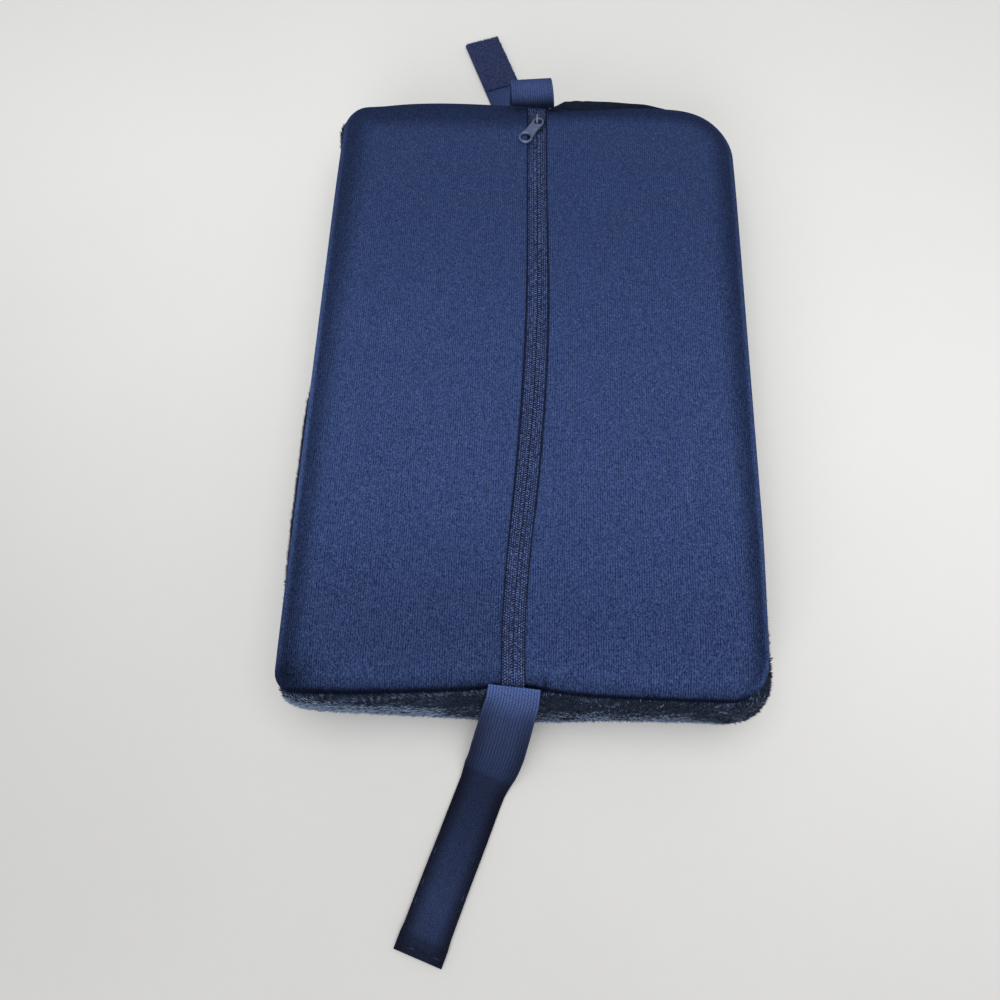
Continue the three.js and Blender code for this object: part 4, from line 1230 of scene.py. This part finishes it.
# Straps: ribbed elastic laid along middle lines, with its tone of painted light and shade, and its weave with
# painted shade in the grooves, stored on the mesh
strap = {
    "width": 25.0, "thick": 1.6, "step": 0.36, "curveSteps": 60, "perRib": 4, "underColumns": 9,
    "roundEdge": 0.45,
    "rib": 1.4, "ribDeep": 0.26, "ribSharp": 0.7, "dash": 1.35, "dashDeep": 0.35, "reliefFrom": 0.3,
    "selvedge": (0.9, 1.6), "selvedgeWeave": 0.75, "crest": (0.45, 0.55), "shadeWidth": 9.0,
}
straps = {
    "nearStrap": {
        "node": "near_strap", "sideY": -1,
        # x, y, z, bearing
        "rows": [(-3.65, -169.9, 57.9, 6), (-3.9, -172.8, 57.9, 6), (-4.4, -176.6, 56.6, 6.5),
                 (-5.9, -180.5, 51.5, 8), (-8.9, -188.5, 36, 10), (-13.0, -198, 15.5, 12),
                 (-16.7, -204.2, 5, 14.5), (-19.8, -211.5, 1.8, 17), (-28, -235, 2.9, 19),
                 (-33.4, -250, 2.95, 19.5), (-45.5, -285.1, 2.95, 20)],
        # length along the strap, the painted light and shade there, how much darker painted shade makes its
        # edges, and how clear its ribs
        "tones": [(0, 1.45, 0.0, 0.7), (1, 1.3, 0.0, 0.7), (5, 1.0, 0.1, 0.7), (10, 0.77, 0.25, 0.7),
                  (17, 0.54, 0.35, 0.7), (28, 0.47, 0.5, 0.7), (44, 0.44, 0.62, 0.7), (53, 0.41, 0.62, 0.65),
                  (62, 0.395, 0.62, 0.55), (66.5, 0.22, 0.66, 0.35), (73, 0.205, 0.74, 0.3),
                  (88, 0.27, 0.78, 0.3), (106, 0.32, 0.76, 0.3), (128, 0.405, 0.8, 0.3),
                  (143, 0.37, 0.78, 0.3), (146.5, 0.2, 0.66, 0.3), (151, 0.14, 0.5, 0.3)],
        # length along the strap, and its width there as a share: drawn narrower where it lies flat
        "widths": [(0, 0.955), (20, 1.005), (45, 1.055), (62, 1.045), (72, 0.945), (141, 0.935), (146, 0.965),
                   (151, 0.965)],
    },
    "farStrap": {
        "node": "far_strap", "sideY": 1,
        "rows": [(-1.8, 174.8, 55.4, 0), (-2.2, 177, 62.2, 1.5), (-2.9, 180.8, 66.2, 3.5),
                 (-3.5, 185.6, 66, 4.5), (-3.8, 188.8, 61.4, 5.5), (-4.3, 190, 50, 7), (-5.6, 192, 28, 10),
                 (-7, 197, 10, 14), (-8.6, 204.5, 3.4, 17), (-11.2, 213, 1.5, 19), (-16.4, 228, 0.95, 20.5),
                 (-22.7, 245, 0.8, 21), (-39.4, 290, 0.8, 23.5)],
        # the same columns for the far strap: painted light and shade, darkest in the shade at its root by the
        # seam
        "tones": [(0, 0.1, 0.0, 0.3), (3, 0.2, 0.1, 0.4), (6, 0.6, 0.1, 0.5), (9, 0.9, 0.1, 0.5),
                  (16, 0.9, 0.1, 0.5), (60, 0.86, 0.2, 0.2), (90, 0.86, 0.1, 0.1), (175, 0.75, 0.2, 0.1)],
        "widths": [(0, 1.0), (12, 0.975), (60, 0.95), (175, 0.94)],
    },
}


def middleLine(rows):  # smooth curve through the rows, with the bearing carried along
    rows = np.array(rows, float)
    spot = rows[:, :3]
    longer = np.concatenate([[2 * spot[0] - spot[1]], spot, [2 * spot[-1] - spot[-2]]])
    points, bearings = [], []
    for index in range(len(spot) - 1):
        p0, p1, p2, p3 = longer[index:index + 4]
        d0, d1, d2 = (max(np.linalg.norm(b - a), 1e-4) ** 0.5 for a, b in ((p0, p1), (p1, p2), (p2, p3)))
        m1 = ((p1 - p0) / d0 - (p2 - p0) / (d0 + d1) + (p2 - p1) / d1) * d1
        m2 = ((p2 - p1) / d1 - (p3 - p1) / (d1 + d2) + (p3 - p2) / d2) * d1
        t = np.linspace(0, 1, strap["curveSteps"], endpoint=index == len(spot) - 2)[:, None]
        points.append(eased(t, p1, p2, m1, m2))
        bearings.append(rows[index, 3] + (rows[index + 1, 3] - rows[index, 3]) * t[:, 0])
    points, bearings = np.concatenate(points), np.concatenate(bearings)
    run = np.concatenate([[0], np.cumsum(np.linalg.norm(np.diff(points, axis=0), axis=1))])
    return points, np.radians(bearings), run


def bandFrames(settings, places=None):  # points and axes at set lengths along a strap
    points, bearings, run = middleLine(settings["rows"])
    if places is None:
        places = np.linspace(0, run[-1], round(run[-1] / strap["step"]) + 1)

    def at(values):
        return np.interp(places, run, values)

    centre = stacked(*(at(points[:, axis]) for axis in range(3)))
    slope = np.gradient(points, run, axis=0)
    along = unit(stacked(*(at(slope[:, axis]) for axis in range(3))))
    turn = at(bearings)
    hint = stacked(np.cos(turn), settings["sideY"] * np.sin(turn), 0)
    across = unit(hint - along * (hint * along).sum(-1, keepdims=True))
    return centre, across, along, np.cross(along, across), places


def bandHeight(across):  # half the thickness of a strap, rounded off at its edges
    half = strap["width"] / 2
    return strap["thick"] / 2 * np.clip((half - np.abs(across)) / strap["roundEdge"], 0, 1) ** 0.5


def strapShape(settings):
    centre, across, _, above, run = bandFrames(settings)
    half = strap["width"] / 2
    ribs = round(strap["width"] / strap["rib"])
    columns = np.linspace(-half, half, ribs * strap["perRib"] + 1)
    under = np.linspace(half, -half, strap["underColumns"] + 2)[1:-1]
    ribTurn = np.pi * columns / strap["width"] * ribs + np.pi / 2 * (ribs % 2 == 0)
    groove = 1 - np.abs(np.cos(ribTurn)) ** strap["ribSharp"]
    selvedge = smoothStep(half - np.abs(columns), *strap["selvedge"])
    ribIndex = np.floor((columns + half) / strap["width"] * ribs)
    dashes = 0.5 + 0.5 * np.cos(2 * np.pi * (run[:, None] / strap["dash"] + 0.5 * (ribIndex % 2)[None, :]))
    places, toneAlong, edgeShade, ribsClear = np.array(settings["tones"], float).T
    clear = np.interp(run, places, ribsClear)[:, None]
    relief = strap["ribDeep"] * clear * selvedge * (groove + strap["dashDeep"] * (1 - groove) * dashes)
    upperSign = np.sign(above[:, 2].mean())
    topHeight = bandHeight(columns) - relief * (bandHeight(columns) > strap["reliefFrom"])
    across = across * straight(settings["widths"], run)[:, None]
    top = columns[None, :, None] * across[:, None] + upperSign * topHeight[:, :, None] * above[:, None]
    underHeight = bandHeight(under)[None, :, None]
    bottom = under[None, :, None] * across[:, None] - upperSign * underHeight * above[:, None]
    points, faces = sweptRings(np.concatenate([centre[:, None] + top, centre[:, None] + bottom], axis=1))
    # painted shade darkens the strap's edges, over the painted light and shade along it
    fromSide = half - np.abs(np.concatenate([columns, under]))
    atSide = 1 - smoothStep(fromSide, 0, strap["shadeWidth"])
    sideShade = np.interp(run, places, edgeShade)[:, None] * atSide[None, :]
    tone = np.interp(run, places, toneAlong)[:, None] * (1 - sideShade)
    # the weave's own crests and dashes, with painted shade darkening the rib grooves
    crestLow, crestMore = strap["crest"]
    crest = (1 - groove)[None, :] * (crestLow + crestMore * (1 - dashes))
    weaveAndGrooveShade = 0.5 + (np.where(selvedge[None, :] > 0.5, crest, strap["selvedgeWeave"]) - 0.5) * clear
    weaveAndGrooveShade = np.concatenate([weaveAndGrooveShade, np.full((len(run), len(under)), 0.5)], axis=1)
    return points, faces, run[-1], upperSign, tone.ravel(), weaveAndGrooveShade.ravel()


strapPieces = {}
for name, settings in straps.items():
    points, faces, runLength, upperSign, tone, weaveAndGrooveShade = strapShape(settings)
    obj = newObject(name, points, faces)
    storeValue(obj, "tone", tone)
    storeValue(obj, "weaveAndGrooveShade", weaveAndGrooveShade)
    dress(obj, finishes["elastic"], "elastic", settings["node"])
    strapPieces[name] = (obj, runLength, upperSign)
    print(name, "is", round(runLength, 1), "mm long, up", upperSign)


# Grip patches: hooks under the near end, brushed loops on the far end
grip = {"wide": 23.2, "columns": 31, "rows": 46, "roundEdge": 0.6, "seed": 11, "sunk": 0.05}
hookPatch = {
    "start": (-29.4, -238.4), "end": (-45.3, -284.4), "sideY": -1, "low": 1.0, "high": 1.8, "jag": 0.0,
    "pitch": 1.5, "from": (-10.5, 1.5), "reach": 10.6, "endGap": 1,
}
loopPatch = {
    "start": (-23.4, 247.0), "end": (-39.3, 289.6), "sideY": 1, "low": 1.9, "high": 3.0, "jag": 0.5,
    "loops": 7000, "reach": 11.3, "endGap": 0.4, "seed": 19, "lengths": (0.9, 1.5), "heights": (0.45, 1.0),
    "swirl": (2.2, 9, 13), "uneven": (0.25, 7, 14),  # amount, size, seed
}
hookShape = tubeShape([(0, 0, 0), (0, 0, -0.55), (0, 0.14, -0.85), (0, 0.42, -0.8)],
                      [0.16, 0.15, 0.14, 0.1], 5)
curlShape = tubeShape([(0, -0.5, -0.3), (0, -0.35, 0.6), (0, 0.1, 0.95), (0, 0.5, 0.5), (0.1, 0.6, 0.1)],
                      [0.09, 0.1, 0.1, 0.09, 0.06], 3)


def patchAxes(settings):
    start, end = np.array([*settings["start"], 0.0]), np.array([*settings["end"], 0.0])
    along = unit(end - start)
    across = np.array([-along[1], along[0], 0]) * settings["sideY"]
    return start, along, across, float(np.linalg.norm(end - start))


def patchSlab(settings):
    start, along, across, length = patchAxes(settings)
    draw = np.random.default_rng(grip["seed"])
    half, size = grip["wide"] / 2, (grip["rows"], grip["columns"])
    rows, columns = np.linspace(0, length, grip["rows"]), np.linspace(-half, half, grip["columns"])
    place = np.broadcast_to(rows[:, None], size).copy()
    place[0] += draw.uniform(-settings["jag"], settings["jag"], grip["columns"])
    fromEdge = np.minimum(half - np.abs(columns)[None, :], np.minimum(rows, length - rows)[:, None])
    edge = np.clip(fromEdge / grip["roundEdge"], 0, 1) ** 0.5
    flat = start + place[..., None] * along + columns[None, :, None] * across
    middle = (settings["low"] + settings["high"]) / 2
    upper = flat + np.array([0, 0, 1]) * (middle + (settings["high"] - middle) * edge)[..., None]
    lower = flat + np.array([0, 0, 1]) * (middle - (middle - settings["low"]) * edge)[..., None]
    return np.concatenate([upper.reshape(-1, 3), lower.reshape(-1, 3)]), bothFaces(*size)


def cleanSlab(obj):  # joins the two faces where they meet at the edge and turns them outward
    work = bmesh.new()
    work.from_mesh(obj.data)
    bmesh.ops.remove_doubles(work, verts=work.verts, dist=1e-6)
    bmesh.ops.recalc_face_normals(work, faces=work.faces)
    work.to_mesh(obj.data)
    work.free()


def makeHooks():
    start, along, across, length = patchAxes(hookPatch)
    fromA, fromB = hookPatch["from"]
    a, b = np.meshgrid(np.arange(fromA, hookPatch["reach"], hookPatch["pitch"]),
                       np.arange(fromB, length - hookPatch["endGap"], hookPatch["pitch"]))
    a, b = a.ravel(), b.ravel()
    place = start + b[:, None] * along + a[:, None] * across + [0, 0, hookPatch["low"] + grip["sunk"]]
    way = np.where((np.arange(len(a)) % 2 == 0)[:, None], along, -along)
    up = np.broadcast_to([0.0, 0, 1.0], place.shape)
    return copiesOf(hookShape, place, np.broadcast_to(across, place.shape), way, up)


def makeLoops():
    start, along, across, length = patchAxes(loopPatch)
    draw = np.random.default_rng(loopPatch["seed"])
    count, reach, gap = loopPatch["loops"], loopPatch["reach"], loopPatch["endGap"]
    a, b = draw.uniform(-reach, reach, count), draw.uniform(gap, length - gap, count)
    place = start + b[:, None] * along + a[:, None] * across + [0, 0, loopPatch["high"] - grip["sunk"]]
    amount, size, seed = loopPatch["swirl"]
    turn = draw.uniform(0, waves["turn"], count) * 0.5 + amount * softWaves(a, b, size, seed)
    way = np.cos(turn)[:, None] * along + np.sin(turn)[:, None] * across
    amount, size, seed = loopPatch["uneven"]
    high = draw.uniform(*loopPatch["heights"], count) * (1 - amount + amount * softWaves(a, b, size, seed))
    long = draw.uniform(*loopPatch["lengths"], count)[:, None]
    return copiesOf(curlShape, place, np.cross(way, [0, 0, 1.0]), way * long, stacked(0, 0, high))


hookTape = newObject("hookPatch", *patchSlab(hookPatch))
cleanSlab(hookTape)
hookTeeth = dress(newObject("hookTeeth", *makeHooks()), finishes["hookTape"], "hook_tape")
dress(hookTape, finishes["hookTape"], "hook_tape", "hook_patch")
loopTape = newObject("loopPatch", *patchSlab(loopPatch))
cleanSlab(loopTape)
dress(loopTape, finishes["loopTape"], "loop_tape", "loop_patch")
loopPile = dress(newObject("loopPile", *makeLoops()), finishes["loopTape"], "loop_tape")

# Stitching on the near strap over its patch: down both edges and across the end, with a few pale threads
sewing = {"stitch": 1.9, "gap": 1.0, "round": 0.2, "edge": 10.2, "back": 46.0, "tip": 3.2, "tipIn": 0.6,
          "sunk": 0.12, "pale": 0.1, "palePerEnd": 0.35, "seed": 29}


def strapStitches():  # dark and pale threads
    draw = np.random.default_rng(sewing["seed"])
    _, total, upperSign = strapPieces["nearStrap"]
    lift = strap["thick"] / 2 - sewing["sunk"]
    pitch = sewing["stitch"] + sewing["gap"]
    dark, pale = [], []

    def sew(here, right, along, up, paleShare):
        picked = draw.random(len(here)) < paleShare
        for chosen, threads in ((~picked, dark), (picked, pale)):
            if chosen.any():
                threads.append(stitchRow(here[chosen], right[chosen], along[chosen], up[chosen],
                                         sewing["stitch"], sewing["round"], draw))

    runs = np.arange(total - sewing["back"], total - sewing["tip"], pitch)
    centre, across, along, above, _ = bandFrames(straps["nearStrap"], runs)
    for edge in (-sewing["edge"], sewing["edge"]):
        here = centre + edge * across + above * upperSign * lift
        sew(here, across, along, above * upperSign, sewing["pale"])
    edges = np.arange(-sewing["edge"] + sewing["tipIn"], sewing["edge"], pitch)
    tipRuns = np.full(len(edges), total - sewing["tip"])
    centre, across, along, above, _ = bandFrames(straps["nearStrap"], tipRuns)
    here = centre + edges[:, None] * across + above * upperSign * lift
    sew(here, along, across, above * upperSign, sewing["palePerEnd"])
    return joined(*dark), joined(*pale)


darkShape, paleShape = strapStitches()
strapThread = dress(newObject("strapStitches", *darkShape), finishes["thread"], "elastic")
paleThread = dress(newObject("strapPaleStitches", *paleShape), finishes["paleThread"], "elastic")
nearBand, nearLength, _ = strapPieces["nearStrap"]
farBand, farLength, _ = strapPieces["farStrap"]
round(nearLength * mm, 4)
round(farLength * mm, 4)
print("straps and patches made")


# Table, light and camera
table = {
    "half": 4.0, "squares": 8, "under": 0.0004, "dullest": 0.525, "palest": 0.85, "from": -0.40, "to": 0.16,
    "slant": 0.34, "stain": 0.05, "blotch": (9, 4.0, 0.6), "blotchShare": 0.7, "fleck": (160, 3.0),
    "fleckShare": 0.3, "tint": shade(1.0, 1.0, 0.985), "grit": (700, 2.0), "bump": (0.08, 0.1),
}
camera = {"place": (1.3, -252.4, 477.6), "yaw": -4.76, "pitch": 67.45, "roll": -3.09, "focal": 930.0,
          "frame": 1000.0, "sensor": 36.0}
lamps = {
    "overhead": {"place": (0.05, -0.28, 1.38), "aim": (0, 0, 0.03), "size": 1.25, "power": 12.8,
                 "colour": (1.0, 0.985, 0.97)},
    "behindCamera": {"place": (-0.25, -1.2, 0.8), "aim": (0, -0.1, 0.03), "size": 0.9, "power": 8.5,
                     "colour": (1.0, 0.98, 0.95)},
}
roomLight = {"colour": shade(0.95, 0.97, 1.0), "strength": 0.36}


def makeTable():
    half, count = table["half"] / mm, table["squares"] + 1
    steps = np.linspace(-half, half, count)
    gridX, gridY = np.meshgrid(steps, steps)
    points = stacked(gridX.ravel(), gridY.ravel(), -table["under"] / mm)
    obj = newObject("tableTop", points, ringFaces(count, count, closed=False))
    material, wire, place = newMaterial("paleTable")
    x, y, _ = axesOf(place)
    blotch, fleck = grain(place, *table["blotch"]), grain(place, *table["fleck"])
    stain = (blotch * table["blotchShare"] + fleck * table["fleckShare"] - 0.5) * table["stain"]
    # painted shade and light: the table is darker towards the near left and paler towards the far right, as
    # the light falls off across it
    paler = (y + x * table["slant"]).above(table["from"], table["to"])
    paler = paler * (table["palest"] - table["dullest"]) + table["dullest"]
    colour = (paler + stain).blend(shade(0, 0, 0), table["tint"])
    finishMaterial(wire, {"Base Color": colour, "Roughness": 0.6, "Specular IOR Level": 0.25},
                   grain(place, *table["grit"]), table["bump"])
    obj.data.materials.append(material)


def makeCamera():
    yaw, pitch, roll = (math.radians(camera[name]) for name in ("yaw", "pitch", "roll"))
    forward = Vector((math.sin(yaw) * math.cos(pitch), math.cos(yaw) * math.cos(pitch), -math.sin(pitch)))
    level = Vector((math.cos(yaw), -math.sin(yaw), 0))
    upright = level.cross(forward)
    right = math.cos(roll) * level + math.sin(roll) * upright
    up = math.cos(roll) * upright - math.sin(roll) * level
    lens = bpy.data.cameras.new("photoCamera")
    lens.sensor_width = camera["sensor"]
    lens.lens = camera["sensor"] * camera["focal"] / camera["frame"]
    lens.clip_start = 0.01
    obj = bpy.data.objects.new("photoCamera", lens)
    turn = Matrix((right, up, -forward)).transposed().to_4x4()
    obj.matrix_world = Matrix.Translation(Vector(camera["place"]) * mm) @ turn
    bpy.context.scene.collection.objects.link(obj)
    bpy.context.scene.camera = obj


def makeLights():
    for name, lamp in lamps.items():
        data = bpy.data.lights.new(name, "AREA")
        data.shape, data.size = "DISK", lamp["size"]
        data.energy, data.color = lamp["power"], lamp["colour"]
        obj = bpy.data.objects.new(name, data)
        obj.location = lamp["place"]
        obj.rotation_euler = (Vector(lamp["aim"]) - Vector(lamp["place"])).to_track_quat("-Z", "Y").to_euler()
        bpy.context.scene.collection.objects.link(obj)
    world = bpy.data.worlds.new("room")
    bpy.context.scene.world = world
    world.use_nodes = True
    back = world.node_tree.nodes["Background"]
    back.inputs["Color"].default_value = roomLight["colour"]
    back.inputs["Strength"].default_value = roomLight["strength"]
    bpy.context.scene.view_settings.view_transform = "Standard"


makeTable()
makeCamera()
makeLights()
print("table, camera and light set")
